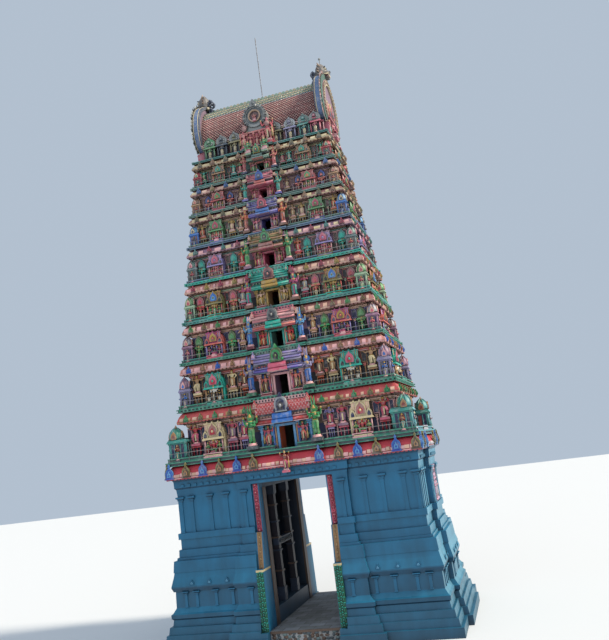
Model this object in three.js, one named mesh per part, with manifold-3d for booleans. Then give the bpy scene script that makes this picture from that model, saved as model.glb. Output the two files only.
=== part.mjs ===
// A painted South Indian gate tower of nine storeys under a wagon-vaulted roof.
// Millimetres, +Z up. Origin at the middle of the footprint, on the ground. The front looks towards -Y.
import * as THREE from 'three';
import { mergeVertices } from 'three/addons/utils/BufferGeometryUtils.js';
import Module from 'manifold-3d';

// Driving dimensions of the ground storey
const BASE_HALF_WIDTH = 7294;
const BASE_HALF_DEPTH = 3900;
const BAY_PROJECTION = 250;
const FRONT_BAY_X = 3280;
const SIDE_BAY_PROJECTION = 300;
const SIDE_BAY_HALF = 1500;
const PASSAGE_HALF = 2050;
const PASSAGE_FLOOR = 810;
const PASSAGE_CEILING = 8860;
const FLOOR_END = 4820;
const JAMB_WIDTH = 430;
const JAMB_BACK = 3600;
const CHAMBER_SILL = 1720;
const CHAMBER_DEPTH = 2320;
const CHAMBER_HALF = 3100;
const COLUMN_SPACING = 2500;
const COLUMN_SIZE = 440;

// Levels of the ground storey
const PLINTH_TOP = 4286;
const GATE_WALL_TOP = 8571;
const CORNICE_FOOT = 9665;

// Mouldings, as height above the ground and projection beyond the wall line
const PLINTH_PROFILE = [
  [0, 1300], [520, 1300], [520, 1120], [930, 1060], [930, 960], [1340, 900], [1340, 760], [1700, 700],
  [1790, 790], [2000, 800], [2070, 700], [2325, 540], [3230, 520], [3230, 600], [3450, 690], [3520, 690],
  [4000, 560], [PLINTH_TOP, 500],
];
const GATE_WALL_PROFILE = [
  [PLINTH_TOP, 540], [4930, 480], [4930, 330], [5080, 320], [5080, 230], [5516, 210], [5516, 90],
  [6110, 90], [6110, 190], [6456, 190], [6456, 60], [GATE_WALL_TOP, 60],
];
const LINTEL_PROFILE = [
  [GATE_WALL_TOP, 60], [9020, 100], [9110, 180], [9500, 190], [CORNICE_FOOT, 300],
];
const JAMB_PROFILE = [
  [PASSAGE_FLOOR, 1050], [4000, 960], [4000, 1020], [4120, 1020], [4120, 620], [6110, 360], [6110, 180],
  [PASSAGE_CEILING, 160],
];

// Upper storeys
const MAIN_CORNICE = { halfWidth: 7750, halfDepth: 4450, roll: 750, slab: 250 };
const STOREY_HEIGHTS = [3300, 2985, 2565, 2605, 2435, 2295, 1920, 1875];
const FIRST_HALF_WIDTH = 6919;
const FIRST_HALF_DEPTH = 4000;
const TAPER_WIDTH = 0.129;
const TAPER_DEPTH = 0.085;
const ROLL_SHARE = 0.21;
const SLAB_SHARE = 0.07;
const OVERHANG = 500;
const ROLL_SET_BACK = 330;
const SLAB_SET_BACK = 120;
const FLOOR_THICKNESS = 250;
const WALL_THICKNESS = 720;
const WALL_THINNING = 35;
const CENTRE_BAY_SHARE = 0.30;
const CENTRE_BAY_NARROWING = 0.010;
const PORCH_SHARE = 0.235;
const PORCH_NARROWING = 0.0125;
const PORCH_PROJECTION = 300;
const DOOR_WIDTH_SHARE = 0.38;
const DOOR_HEIGHT_SHARE = 0.62;
const SHRINE_CENTRE_SHARE = 0.64;
const SHRINE_WIDTH_SHARE = 0.16;
const SHRINE_PROJECTION = 420;
const SIDE_SHRINE_SHARE = 0.26;
const SIDE_SHRINE_PROJECTION = 360;
const CORNER_SET_BACK = 250;

// Roof
const NECK_HALF_WIDTH = 4150;
const NECK_HALF_DEPTH = 1700;
const NECK_THICKNESS = 400;
const NECK_HEIGHT = 1073;
const EAVE_HALF_DEPTH = 2000;
const EAVE_THICKNESS = 200;
const VAULT_HALF_DEPTH = 1900;
const VAULT_THICKNESS = 400;
const RIDGE = 34560;
const RIDGE_CAP = 90;
const GABLE_THICKNESS = 450;
const GABLE_FOOT_THICKNESS = 390;
const GABLE_CROWN = 35000;
const GABLE_TOP = 36080;
const NASI_CENTRE = 32350;
const NASI_RADIUS = 820;
const NASI_FRONT = 2380;
const ROD_TOP = 39480;
const ROD_RADIUS = 30;

// Gap that a piece cut to its neighbour's curve keeps to it
const FIT_GAP = 0.5;

const PAINT = {
  blue: 0x3f7fa8,
  stone: 0xb9b6ad,
  red: 0xc23b45,
  green: 0x2f7f5f,
  brown: 0x8a6a4a,
  metal: 0x8d9399,
};
const TIER_PAINT = [0x3f9c8f, 0x4a6fb8, 0x9a86a8, 0xb9c9ae, 0x5f8f86, 0x3f86c8, 0xb08a62, 0xc2415a];
const CORNICE_PAINT = [0xb8434a, 0x9c4a44, 0x8a8450, 0xc06a78, 0xb87888, 0x7c8450, 0x9c6a5a, 0xc9b896];

const wasm = await Module();
wasm.setup();

// Closed mesh of a geometry, with its shared corners merged, as a solid
function solid(geometry) {
  geometry.deleteAttribute('normal');
  geometry.deleteAttribute('uv');
  const merged = mergeVertices(geometry, 1e-4);
  return new wasm.Manifold(new wasm.Mesh({
    numProp: 3,
    vertProperties: new Float32Array(merged.attributes.position.array),
    triVerts: new Uint32Array(merged.index.array),
  }));
}

function join(...solids) {
  return solids.reduce((whole, piece) => whole.add(piece));
}

function cut(whole, ...pieces) {
  return pieces.reduce((rest, piece) => rest.subtract(piece), whole);
}

function box([x0, x1], [y0, y1], [z0, z1]) {
  const geometry = new THREE.BoxGeometry(x1 - x0, y1 - y0, z1 - z0);
  geometry.translate((x0 + x1) / 2, (y0 + y1) / 2, (z0 + z1) / 2);
  return solid(geometry);
}

function shapeOf(points) {
  return new THREE.Shape(points.map(([a, b]) => new THREE.Vector2(a, b)));
}

// Outline drawn in X and Z, run along Y
function alongY(points, y0, y1) {
  const geometry = new THREE.ExtrudeGeometry(shapeOf(points), { depth: y1 - y0, bevelEnabled: false });
  const turn = new THREE.Matrix4().makeBasis(
    new THREE.Vector3(1, 0, 0), new THREE.Vector3(0, 0, 1), new THREE.Vector3(0, -1, 0));
  geometry.applyMatrix4(turn);
  geometry.translate(0, y1, 0);
  return solid(geometry);
}

// Outline drawn in Y and Z, run along X
function alongX(points, x0, x1) {
  const geometry = new THREE.ExtrudeGeometry(shapeOf(points), { depth: x1 - x0, bevelEnabled: false });
  const turn = new THREE.Matrix4().makeBasis(
    new THREE.Vector3(0, 1, 0), new THREE.Vector3(0, 0, 1), new THREE.Vector3(1, 0, 0));
  geometry.applyMatrix4(turn);
  geometry.translate(x0, 0, 0);
  return solid(geometry);
}

// Profile of heights and projections, drawn on both sides of a span; a side that is 0 stays plain
function moulding([a, b], profile, lowSide, highSide) {
  const high = profile.map(([z, e]) => [b + highSide * e, z]);
  const low = profile.map(([z, e]) => [a - lowSide * e, z]).reverse();
  return [...high, ...low];
}

// Block whose mouldings run round it and meet in mitres at its corners
function moulded(xs, ys, profile, plain = {}) {
  const reach = 2 * Math.max(...profile.map(([, e]) => Math.abs(e))) + 1000;
  const across = alongY(
    moulding(xs, profile, plain.left ? 0 : 1, plain.right ? 0 : 1), ys[0] - reach, ys[1] + reach);
  const along = alongX(moulding(ys, profile, 1, 1), xs[0] - reach, xs[1] + reach);
  return across.intersect(along);
}

// Span on one side of the axis, from the near distance to the far one
function span(side, near, far) {
  return side < 0 ? [-far, -near] : [near, far];
}

function plainTowardsAxis(side) {
  return side < 0 ? { right: true } : { left: true };
}

const tower = new THREE.Group();

function add(name, shape, colour, roughness = 0.75, metalness = 0) {
  const mesh = shape.getMesh();
  const geometry = new THREE.BufferGeometry();
  geometry.setAttribute('position', new THREE.BufferAttribute(mesh.vertProperties, 3));
  geometry.setIndex(new THREE.BufferAttribute(mesh.triVerts, 1));
  const material = new THREE.MeshStandardMaterial({ color: colour, roughness, metalness, flatShading: true });
  const piece = new THREE.Mesh(geometry, material);
  piece.name = name;
  tower.add(piece);
}

// Ground storey
const SIDES = [['left', -1], ['right', 1]];
const ENDS = [['front', -1], ['back', 1]];
const JAMB_X = PASSAGE_HALF + JAMB_WIDTH;

// One course of a half: its body, the bays beside the passage and the bay on its side
function course(side, profile) {
  const plain = plainTowardsAxis(side);
  const body = moulded(span(side, PASSAGE_HALF, BASE_HALF_WIDTH), [-BASE_HALF_DEPTH, BASE_HALF_DEPTH],
    profile, plain);
  const bayEnd = BASE_HALF_DEPTH + BAY_PROJECTION;
  const frontBays = moulded(span(side, PASSAGE_HALF, FRONT_BAY_X), [-bayEnd, bayEnd], profile, plain);
  const sideBay = moulded(span(side, PASSAGE_HALF, BASE_HALF_WIDTH + SIDE_BAY_PROJECTION),
    [-SIDE_BAY_HALF, SIDE_BAY_HALF], profile, plain);
  return join(body, frontBays, sideBay);
}

function chamber(side) {
  return box(span(side, PASSAGE_HALF - 10, PASSAGE_HALF + CHAMBER_DEPTH), [-CHAMBER_HALF, CHAMBER_HALF],
    [CHAMBER_SILL, GATE_WALL_TOP + 10]);
}

// Room that a jamb takes at one end of the passage
function jambSlot(side, end) {
  return box(span(side, PASSAGE_HALF - 10, JAMB_X), span(end, JAMB_BACK, BASE_HALF_DEPTH + 3000),
    [PASSAGE_FLOOR, PASSAGE_CEILING]);
}

function withoutSlots(side, whole) {
  return cut(whole, chamber(side), jambSlot(side, -1), jambSlot(side, 1));
}

for (const [sideName, side] of SIDES) {
  add(`${sideName}_plinth`, withoutSlots(side, course(side, PLINTH_PROFILE)), PAINT.blue);
  add(`${sideName}_gate_wall`, withoutSlots(side, course(side, GATE_WALL_PROFILE)), PAINT.blue);
}

// Pair of columns in a side chamber, tied by a band half way up
function chamberColumns(side) {
  const near = PASSAGE_HALF + 60;
  const shafts = ENDS.map(([, end]) => {
    const middle = end * COLUMN_SPACING / 2;
    const at = (width, z0, z1) => box(
      span(side, near + (COLUMN_SIZE - width) / 2, near + (COLUMN_SIZE + width) / 2),
      [middle - width / 2, middle + width / 2], [z0, z1]);
    return join(
      at(COLUMN_SIZE, CHAMBER_SILL, CHAMBER_SILL + 700),
      at(COLUMN_SIZE - 80, CHAMBER_SILL + 700, GATE_WALL_TOP - 500),
      at(COLUMN_SIZE + 60, GATE_WALL_TOP - 500, GATE_WALL_TOP));
  });
  const band = box(span(side, near + 60, near + COLUMN_SIZE - 60),
    [-COLUMN_SPACING / 2, COLUMN_SPACING / 2], [4950, 5350]);
  return join(...shafts, band);
}

for (const [sideName, side] of SIDES) {
  add(`${sideName}_chamber_columns`, chamberColumns(side), PAINT.brown);
}

// Carved post at an end of the passage, deeper in its lower part
function jamb(side, end) {
  const face = JAMB_PROFILE.map(([z, e]) => [end * (BASE_HALF_DEPTH + e), z]);
  const back = [[end * JAMB_BACK, PASSAGE_CEILING], [end * JAMB_BACK, PASSAGE_FLOOR]];
  const outline = [...face, ...back];
  return alongX(end > 0 ? outline : outline.reverse(), ...span(side, PASSAGE_HALF, JAMB_X));
}

for (const [endName, end] of ENDS) {
  for (const [sideName, side] of SIDES) {
    add(`${endName}_${sideName}_jamb`, jamb(side, end), PAINT.green);
  }
}

add('passage_floor', box([-PASSAGE_HALF, PASSAGE_HALF], [-FLOOR_END, FLOOR_END], [0, PASSAGE_FLOOR]),
  PAINT.stone, 0.9);

function gateLintel() {
  const ends = BASE_HALF_DEPTH + BAY_PROJECTION;
  const sides = BASE_HALF_WIDTH + SIDE_BAY_PROJECTION;
  const whole = join(
    moulded([-BASE_HALF_WIDTH, BASE_HALF_WIDTH], [-BASE_HALF_DEPTH, BASE_HALF_DEPTH], LINTEL_PROFILE),
    moulded([-FRONT_BAY_X, FRONT_BAY_X], [-ends, ends], LINTEL_PROFILE),
    moulded([-sides, sides], [-SIDE_BAY_HALF, SIDE_BAY_HALF], LINTEL_PROFILE));
  const levels = [GATE_WALL_TOP - 10, PASSAGE_CEILING];
  const passage = box([-PASSAGE_HALF, PASSAGE_HALF], [-2 * ends, 2 * ends], levels);
  const slots = ENDS.map(([, end]) => box([-JAMB_X, JAMB_X], span(end, JAMB_BACK, 2 * ends), levels));
  return cut(whole, passage, ...slots);
}

add('gate_lintel', gateLintel(), PAINT.blue);

// Heights and sizes of the cornices, from the main one up
const levels = [{
  index: 0,
  foot: CORNICE_FOOT,
  halfWidth: MAIN_CORNICE.halfWidth,
  halfDepth: MAIN_CORNICE.halfDepth,
  roll: MAIN_CORNICE.roll,
  slab: MAIN_CORNICE.slab,
}];
const firstFoot = CORNICE_FOOT + STOREY_HEIGHTS[0];
STOREY_HEIGHTS.forEach((height, index) => {
  const foot = levels[index].foot + height;
  const above = STOREY_HEIGHTS[index + 1] ?? height;
  levels.push({
    index: index + 1,
    foot,
    halfWidth: Math.round(FIRST_HALF_WIDTH - TAPER_WIDTH * (foot - firstFoot)),
    halfDepth: Math.round(FIRST_HALF_DEPTH - TAPER_DEPTH * (foot - firstFoot)),
    roll: Math.round(ROLL_SHARE * above),
    slab: Math.round(SLAB_SHARE * above),
  });
});
for (const level of levels) {
  level.floor = level.foot + level.roll + level.slab;
}

// Rolled cornice with the slab on it
function corniceBody(level) {
  const { foot, roll, slab, halfWidth, halfDepth } = level;
  const profile = [
    [foot, 0], [foot + 0.16 * roll, 0], [foot + 0.55 * roll, -0.3 * ROLL_SET_BACK],
    [foot + 0.85 * roll, -0.7 * ROLL_SET_BACK], [foot + roll, -ROLL_SET_BACK],
    [foot + roll, -SLAB_SET_BACK], [foot + roll + slab, -SLAB_SET_BACK],
  ];
  const centre = (CENTRE_BAY_SHARE - CENTRE_BAY_NARROWING * level.index) * halfWidth;
  return join(
    moulded([-halfWidth, halfWidth], [-halfDepth, halfDepth], profile),
    moulded([-centre, centre], [-halfDepth - 200, halfDepth + 200], profile));
}

add('main_cornice', corniceBody(levels[0]), PAINT.red);

// Sizes of one upper storey, between the cornice below and the one above it
function storey(index) {
  const below = levels[index];
  const above = levels[index + 1];
  const zone = above.foot - below.floor;
  const thickness = WALL_THICKNESS - WALL_THINNING * index;
  return {
    below,
    above,
    zone,
    thickness,
    wallX: above.halfWidth - OVERHANG,
    wallY: above.halfDepth - OVERHANG,
    doorHalf: Math.round(DOOR_WIDTH_SHARE * zone / 2),
    doorTop: below.floor + Math.round(DOOR_HEIGHT_SHARE * zone),
    porchHalf: Math.round((PORCH_SHARE - PORCH_NARROWING * index) * above.halfWidth),
  };
}

// Small square shrine at a corner, with a dome
function cornerShrine(side, end, s) {
  const z0 = s.below.floor;
  const outX = s.below.halfWidth - CORNER_SET_BACK;
  const outY = s.below.halfDepth - CORNER_SET_BACK;
  const xs = span(side, s.wallX - 60, outX);
  const ys = span(end, s.wallY - 60, outY);
  const bodyTop = z0 + 0.6 * s.zone;
  const size = Math.min(xs[1] - xs[0], ys[1] - ys[0]);
  const radius = 0.55 * size;
  const rise = 0.3 * s.zone;
  const dome = new THREE.LatheGeometry([
    new THREE.Vector2(0, -60), new THREE.Vector2(radius * 0.95, -60), new THREE.Vector2(radius, rise * 0.3),
    new THREE.Vector2(radius * 0.62, rise * 0.75), new THREE.Vector2(0, rise),
  ], 8, Math.PI / 8);
  dome.rotateX(Math.PI / 2);
  dome.translate(side * (outX - size / 2), end * (outY - size / 2), bodyTop);
  return join(box(xs, ys, [z0, bodyTop]), solid(dome));
}

// Oblong shrine with a barrel roof, attached to the wall between the middle and the corner
function oblongShrine(side, end, s) {
  const half = SHRINE_WIDTH_SHARE * s.above.halfWidth / 2;
  const middle = side * SHRINE_CENTRE_SHARE * s.above.halfWidth;
  const z0 = s.below.floor;
  const spring = z0 + 0.55 * s.zone;
  const rise = 0.35 * s.zone;
  const outline = [[middle - half, z0], [middle + half, z0]];
  const steps = 6;
  for (let i = 0; i <= steps; i += 1) {
    const angle = Math.PI * i / steps;
    outline.push([middle + half * Math.cos(angle), spring + rise * Math.sin(angle)]);
  }
  const reach = span(end, s.wallY - 60, s.wallY + SHRINE_PROJECTION);
  return alongY(outline, ...reach);
}

// Oblong shrine with a barrel roof in the middle of a side wall
function sideShrine(side, s) {
  const half = SIDE_SHRINE_SHARE * s.above.halfDepth;
  const z0 = s.below.floor;
  const spring = z0 + 0.58 * s.zone;
  const rise = 0.36 * s.zone;
  const outline = [[-half, z0], [half, z0]];
  const steps = 8;
  for (let i = 0; i <= steps; i += 1) {
    const angle = Math.PI * i / steps;
    outline.push([half * Math.cos(angle), spring + rise * Math.sin(angle)]);
  }
  return alongX(outline, ...span(side, s.wallX - 60, s.wallX + SIDE_SHRINE_PROJECTION));
}

// Half of a storey's walls: a C in plan, open towards the axis
function halfWalls(side, s) {
  const levelsOf = [s.below.floor, s.above.foot];
  const shell = cut(
    box(span(side, s.doorHalf, s.wallX), [-s.wallY, s.wallY], levelsOf),
    box(span(side, 0, s.wallX - s.thickness), [-s.wallY + s.thickness, s.wallY - s.thickness],
      [levelsOf[0] - 10, levelsOf[1] + 10]));
  const pieces = ENDS.flatMap(([, end]) => [
    box(span(side, s.doorHalf, s.porchHalf), span(end, s.wallY - 60, s.wallY + PORCH_PROJECTION), levelsOf),
    oblongShrine(side, end, s),
    cornerShrine(side, end, s),
  ]);
  return join(shell, sideShrine(side, s), ...pieces);
}

// Roof of a porch, with its eaves just above the doorway, and a lintel over the doorway
function porchRoof(end, s) {
  const { foot, roll, halfDepth } = s.above;
  const face = s.wallY + PORCH_PROJECTION;
  const outline = [
    [face, foot - 0.36 * s.zone], [halfDepth + 320, foot - 0.36 * s.zone], [halfDepth + 320, foot - 0.31 * s.zone],
    [halfDepth + 120, foot - 0.2 * s.zone], [halfDepth + 230, foot - 0.12 * s.zone],
    [halfDepth + 240, foot + 0.2 * roll], [halfDepth + 130, foot + 0.6 * roll],
    [halfDepth - 20, foot + 0.9 * roll], [halfDepth - 400, foot + 0.9 * roll], [halfDepth - 400, foot],
    [face, foot],
  ].map(([y, z]) => [end * y, z]);
  const roof = alongX(end > 0 ? outline : outline.reverse(), -s.porchHalf - 60, s.porchHalf + 60);
  const lintel = box([-s.doorHalf, s.doorHalf], span(end, s.wallY - s.thickness, face),
    [s.doorTop, foot + 100]);
  return join(roof, lintel);
}

function storeyCornice(s) {
  const room = box([s.thickness - s.wallX, s.wallX - s.thickness], [s.thickness - s.wallY, s.wallY - s.thickness],
    [s.above.foot - 10, s.above.floor - FLOOR_THICKNESS]);
  return join(cut(corniceBody(s.above), room), porchRoof(-1, s), porchRoof(1, s));
}

STOREY_HEIGHTS.forEach((height, index) => {
  const s = storey(index);
  const name = `tier_${index + 1}`;
  for (const [sideName, side] of SIDES) {
    add(`${name}_${sideName}_walls`, halfWalls(side, s), TIER_PAINT[index]);
  }
  add(`${name}_cornice`, storeyCornice(s), CORNICE_PAINT[index]);
});

// Roof
const roofFloor = levels.at(-1).floor;
const eaves = roofFloor + NECK_HEIGHT;

add('roof_neck', cut(
  box([-NECK_HALF_WIDTH, NECK_HALF_WIDTH], [-NECK_HALF_DEPTH, NECK_HALF_DEPTH], [roofFloor, eaves]),
  box([NECK_THICKNESS - NECK_HALF_WIDTH, NECK_HALF_WIDTH - NECK_THICKNESS],
    [NECK_THICKNESS - NECK_HALF_DEPTH, NECK_HALF_DEPTH - NECK_THICKNESS], [roofFloor - 10, eaves + 10])),
0x6a3a52);

// Half ellipse over the eaves, grown or shrunk by a distance, with its feet sunk into the eaves
function vaultOutline(growth, steps = 18) {
  const spring = eaves + EAVE_THICKNESS;
  const footing = EAVE_THICKNESS / 2;
  const half = VAULT_HALF_DEPTH + growth;
  const points = [[-half, spring - footing], [half, spring - footing]];
  for (let i = 0; i <= steps; i += 1) {
    const angle = Math.PI * i / steps;
    points.push([
      half * Math.cos(angle), spring + (RIDGE - spring + growth) * Math.sin(angle),
    ]);
  }
  return points;
}

function roofVault() {
  const spring = eaves + EAVE_THICKNESS;
  const cap = 120;
  const shell = join(
    box([-NECK_HALF_WIDTH, NECK_HALF_WIDTH], [-EAVE_HALF_DEPTH, EAVE_HALF_DEPTH], [eaves, spring]),
    alongX(vaultOutline(0), -NECK_HALF_WIDTH, NECK_HALF_WIDTH),
    box([-NECK_HALF_WIDTH, NECK_HALF_WIDTH], [-cap, cap], [RIDGE - 200, RIDGE + RIDGE_CAP]));
  const room = join(
    alongX(vaultOutline(-VAULT_THICKNESS), -NECK_HALF_WIDTH - 10, NECK_HALF_WIDTH + 10),
    box([-NECK_HALF_WIDTH - 10, NECK_HALF_WIDTH + 10],
      [VAULT_THICKNESS - VAULT_HALF_DEPTH, VAULT_HALF_DEPTH - VAULT_THICKNESS], [eaves - 10, spring]));
  return cut(shell, room);
}

add('roof_vault', roofVault(), 0xc46a62);

// Horseshoe gable with a crest, on a foot that stands on the top floor
function gable(side) {
  const half = [
    [1500, eaves], [1880, eaves + 300], [2080, eaves + 900], [2110, eaves + 1500], [1950, eaves + 2300],
    [1580, eaves + 2950], [1060, eaves + 3420], [450, GABLE_CROWN],
  ];
  const outline = [...half, ...half.map(([y, z]) => [-y, z]).reverse()];
  const inner = NECK_HALF_WIDTH;
  const foot = box(span(side, inner, inner + GABLE_FOOT_THICKNESS), [-1500, 1500], [roofFloor, eaves + 10]);
  const body = alongX(outline, ...span(side, inner, inner + GABLE_THICKNESS));
  const crest = new THREE.SphereGeometry(1, 10, 8);
  const crestHeight = (GABLE_TOP - GABLE_CROWN + 300) / 2;
  crest.scale(430, 520, crestHeight);
  crest.translate(side * (inner + GABLE_THICKNESS / 2), 0, GABLE_TOP - crestHeight);
  return join(foot, body, solid(crest));
}

function spike(side) {
  const x = side * (NECK_HALF_WIDTH + GABLE_THICKNESS / 2);
  const rod = new THREE.CylinderGeometry(28, 28, 600, 8);
  rod.rotateX(Math.PI / 2);
  rod.translate(x, 0, GABLE_TOP + 150);
  const ball = new THREE.SphereGeometry(90, 8, 6);
  ball.translate(x, 0, GABLE_TOP + 430);
  return join(solid(rod), solid(ball));
}

add('left_gable', gable(-1), 0x3a62a8);
add('right_gable', join(gable(1), spike(1)), 0x3a62a8);

// Arched dormer over a small pavilion that stands before the neck
function nasi(end) {
  const y = span(end, NECK_HALF_DEPTH, NASI_FRONT);
  const pavilion = box([-900, 900], y, [roofFloor, eaves]);
  const outline = [[-800, eaves - 1], [800, eaves - 1], [760, eaves + 350]];
  const steps = 14;
  const start = -0.22 * Math.PI;
  for (let i = 0; i <= steps; i += 1) {
    const angle = start + (Math.PI - 2 * start) * i / steps;
    outline.push([NASI_RADIUS * Math.cos(angle), NASI_CENTRE + NASI_RADIUS * Math.sin(angle)]);
  }
  outline.push([-760, eaves + 350]);
  const inward = span(end, 900, NASI_FRONT);
  const arch = alongY(outline, ...inward);
  const crown = NASI_CENTRE + NASI_RADIUS;
  const finial = alongY([[-230, crown - 90], [230, crown - 90], [80, crown + 280], [-80, crown + 280]],
    ...span(end, NASI_FRONT - 250, NASI_FRONT));
  const eaveSlab = box([-NECK_HALF_WIDTH, NECK_HALF_WIDTH],
    [-EAVE_HALF_DEPTH - FIT_GAP, EAVE_HALF_DEPTH + FIT_GAP], [eaves - FIT_GAP, eaves + EAVE_THICKNESS + FIT_GAP]);
  const vault = alongX(vaultOutline(FIT_GAP), -NECK_HALF_WIDTH, NECK_HALF_WIDTH);
  const neckTop = box([-NECK_HALF_WIDTH, NECK_HALF_WIDTH], [-NECK_HALF_DEPTH, NECK_HALF_DEPTH],
    [roofFloor, eaves + 10]);
  return cut(join(pavilion, arch, finial), eaveSlab, vault, neckTop);
}

for (const [endName, end] of ENDS) {
  add(`${endName}_nasi`, nasi(end), 0x7c8c92);
}

const rod = new THREE.CylinderGeometry(ROD_RADIUS, ROD_RADIUS, ROD_TOP - RIDGE - RIDGE_CAP, 8);
rod.rotateX(Math.PI / 2);
rod.translate(0, 0, (ROD_TOP + RIDGE + RIDGE_CAP) / 2);
add('lightning_rod', solid(rod), PAINT.metal, 0.4, 0.8);

export default tower;
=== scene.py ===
# %% [markdown]
# # Dressing a painted gate tower
#
# The frame already holds the masonry of a South Indian gate tower: a moulded base with a tall passage,
# eight stepped storeys and a wagon roof. On the real tower that masonry is only the core. Sculptors cover
# it with figures, small shrines, arches and rails of plaster, and painters give every piece its own
# colour. This lesson adds that skin, storey by storey, and never moves the masonry under it.

# %% Load the frame
import math
import random
from types import SimpleNamespace

import bmesh
import bpy
import numpy as np
from mathutils import Matrix, Vector


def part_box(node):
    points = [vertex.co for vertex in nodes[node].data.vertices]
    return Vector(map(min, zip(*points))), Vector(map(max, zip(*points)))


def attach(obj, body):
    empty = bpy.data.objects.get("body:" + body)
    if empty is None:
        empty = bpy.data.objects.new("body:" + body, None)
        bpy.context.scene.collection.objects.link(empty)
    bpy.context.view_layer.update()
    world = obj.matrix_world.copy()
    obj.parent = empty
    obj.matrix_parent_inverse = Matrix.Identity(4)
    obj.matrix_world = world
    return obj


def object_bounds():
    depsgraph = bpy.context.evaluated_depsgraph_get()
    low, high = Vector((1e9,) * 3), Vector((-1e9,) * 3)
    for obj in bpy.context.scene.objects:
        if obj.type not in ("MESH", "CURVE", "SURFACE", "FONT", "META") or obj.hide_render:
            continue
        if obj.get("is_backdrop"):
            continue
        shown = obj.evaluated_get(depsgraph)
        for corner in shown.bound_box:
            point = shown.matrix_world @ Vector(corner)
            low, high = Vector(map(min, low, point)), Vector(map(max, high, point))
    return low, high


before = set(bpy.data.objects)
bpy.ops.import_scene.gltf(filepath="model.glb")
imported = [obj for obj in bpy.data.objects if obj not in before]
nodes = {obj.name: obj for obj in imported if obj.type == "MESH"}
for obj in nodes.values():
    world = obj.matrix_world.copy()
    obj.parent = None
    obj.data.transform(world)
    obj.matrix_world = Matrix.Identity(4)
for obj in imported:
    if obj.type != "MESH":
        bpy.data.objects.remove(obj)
cad_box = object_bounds()
dice = random.Random(7)
print("frame:", len(nodes), "nodes, box", [tuple(round(c, 2) for c in corner) for corner in cad_box])

# %% [markdown]
# ## Camera and light
#
# The photograph was taken from the right of the front, about level with the big cornice, with the camera
# tilted sideways. The place, the angles and the focal length below put the storeys where the photograph
# has them. The light is a bright hazy sky with a soft sun behind the right-hand side, so the front is in
# open shade.

# %% Camera
CAMERA_AT = Vector((12.88, -43.74, 10.28))
YAW, PITCH, ROLL = math.radians(15.30), math.radians(10.53), math.radians(-7.50)
FOCAL_PIXELS, FRAME_HEIGHT, SENSOR = 704.1, 640, 36.0


def camera_turn():
    ahead = Vector((-math.sin(YAW) * math.cos(PITCH), math.cos(YAW) * math.cos(PITCH), math.sin(PITCH)))
    level = Vector((math.cos(YAW), math.sin(YAW), 0))
    upright = level.cross(ahead)
    right = math.cos(ROLL) * level + math.sin(ROLL) * upright
    up = -math.sin(ROLL) * level + math.cos(ROLL) * upright
    return Matrix((right, up, -ahead)).transposed().to_4x4()


scene = bpy.context.scene
lens = bpy.data.cameras.new("camera")
lens.sensor_width = SENSOR
lens.lens = FOCAL_PIXELS / FRAME_HEIGHT * SENSOR
lens.clip_end = 500
camera = bpy.data.objects.new("camera", lens)
camera.matrix_world = Matrix.Translation(CAMERA_AT) @ camera_turn()
scene.collection.objects.link(camera)
scene.camera = camera
print("lens", round(lens.lens, 1), "mm")

# %% Light
scene.view_settings.view_transform = "Standard"
world = bpy.data.worlds.new("haze")
world.use_nodes = True
world.node_tree.nodes["Background"].inputs["Color"].default_value = (0.68, 0.80, 0.95, 1)
world.node_tree.nodes["Background"].inputs["Strength"].default_value = 0.66
scene.world = world


def sun(name, strength, softness, towards, colour):
    light = bpy.data.lights.new(name, "SUN")
    light.energy = strength
    light.angle = math.radians(softness)
    light.color = colour
    lamp = bpy.data.objects.new(name, light)
    lamp.matrix_world = Vector(towards).to_track_quat("-Z", "Y").to_matrix().to_4x4()
    scene.collection.objects.link(lamp)


sun("soft_sun", 4.2, 10, (-0.80, -0.02, -0.62), (1.0, 0.91, 0.76))
sun("front_fill", 0.70, 60, (-0.15, 0.9, -0.38), (0.90, 0.96, 1.0))
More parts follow.
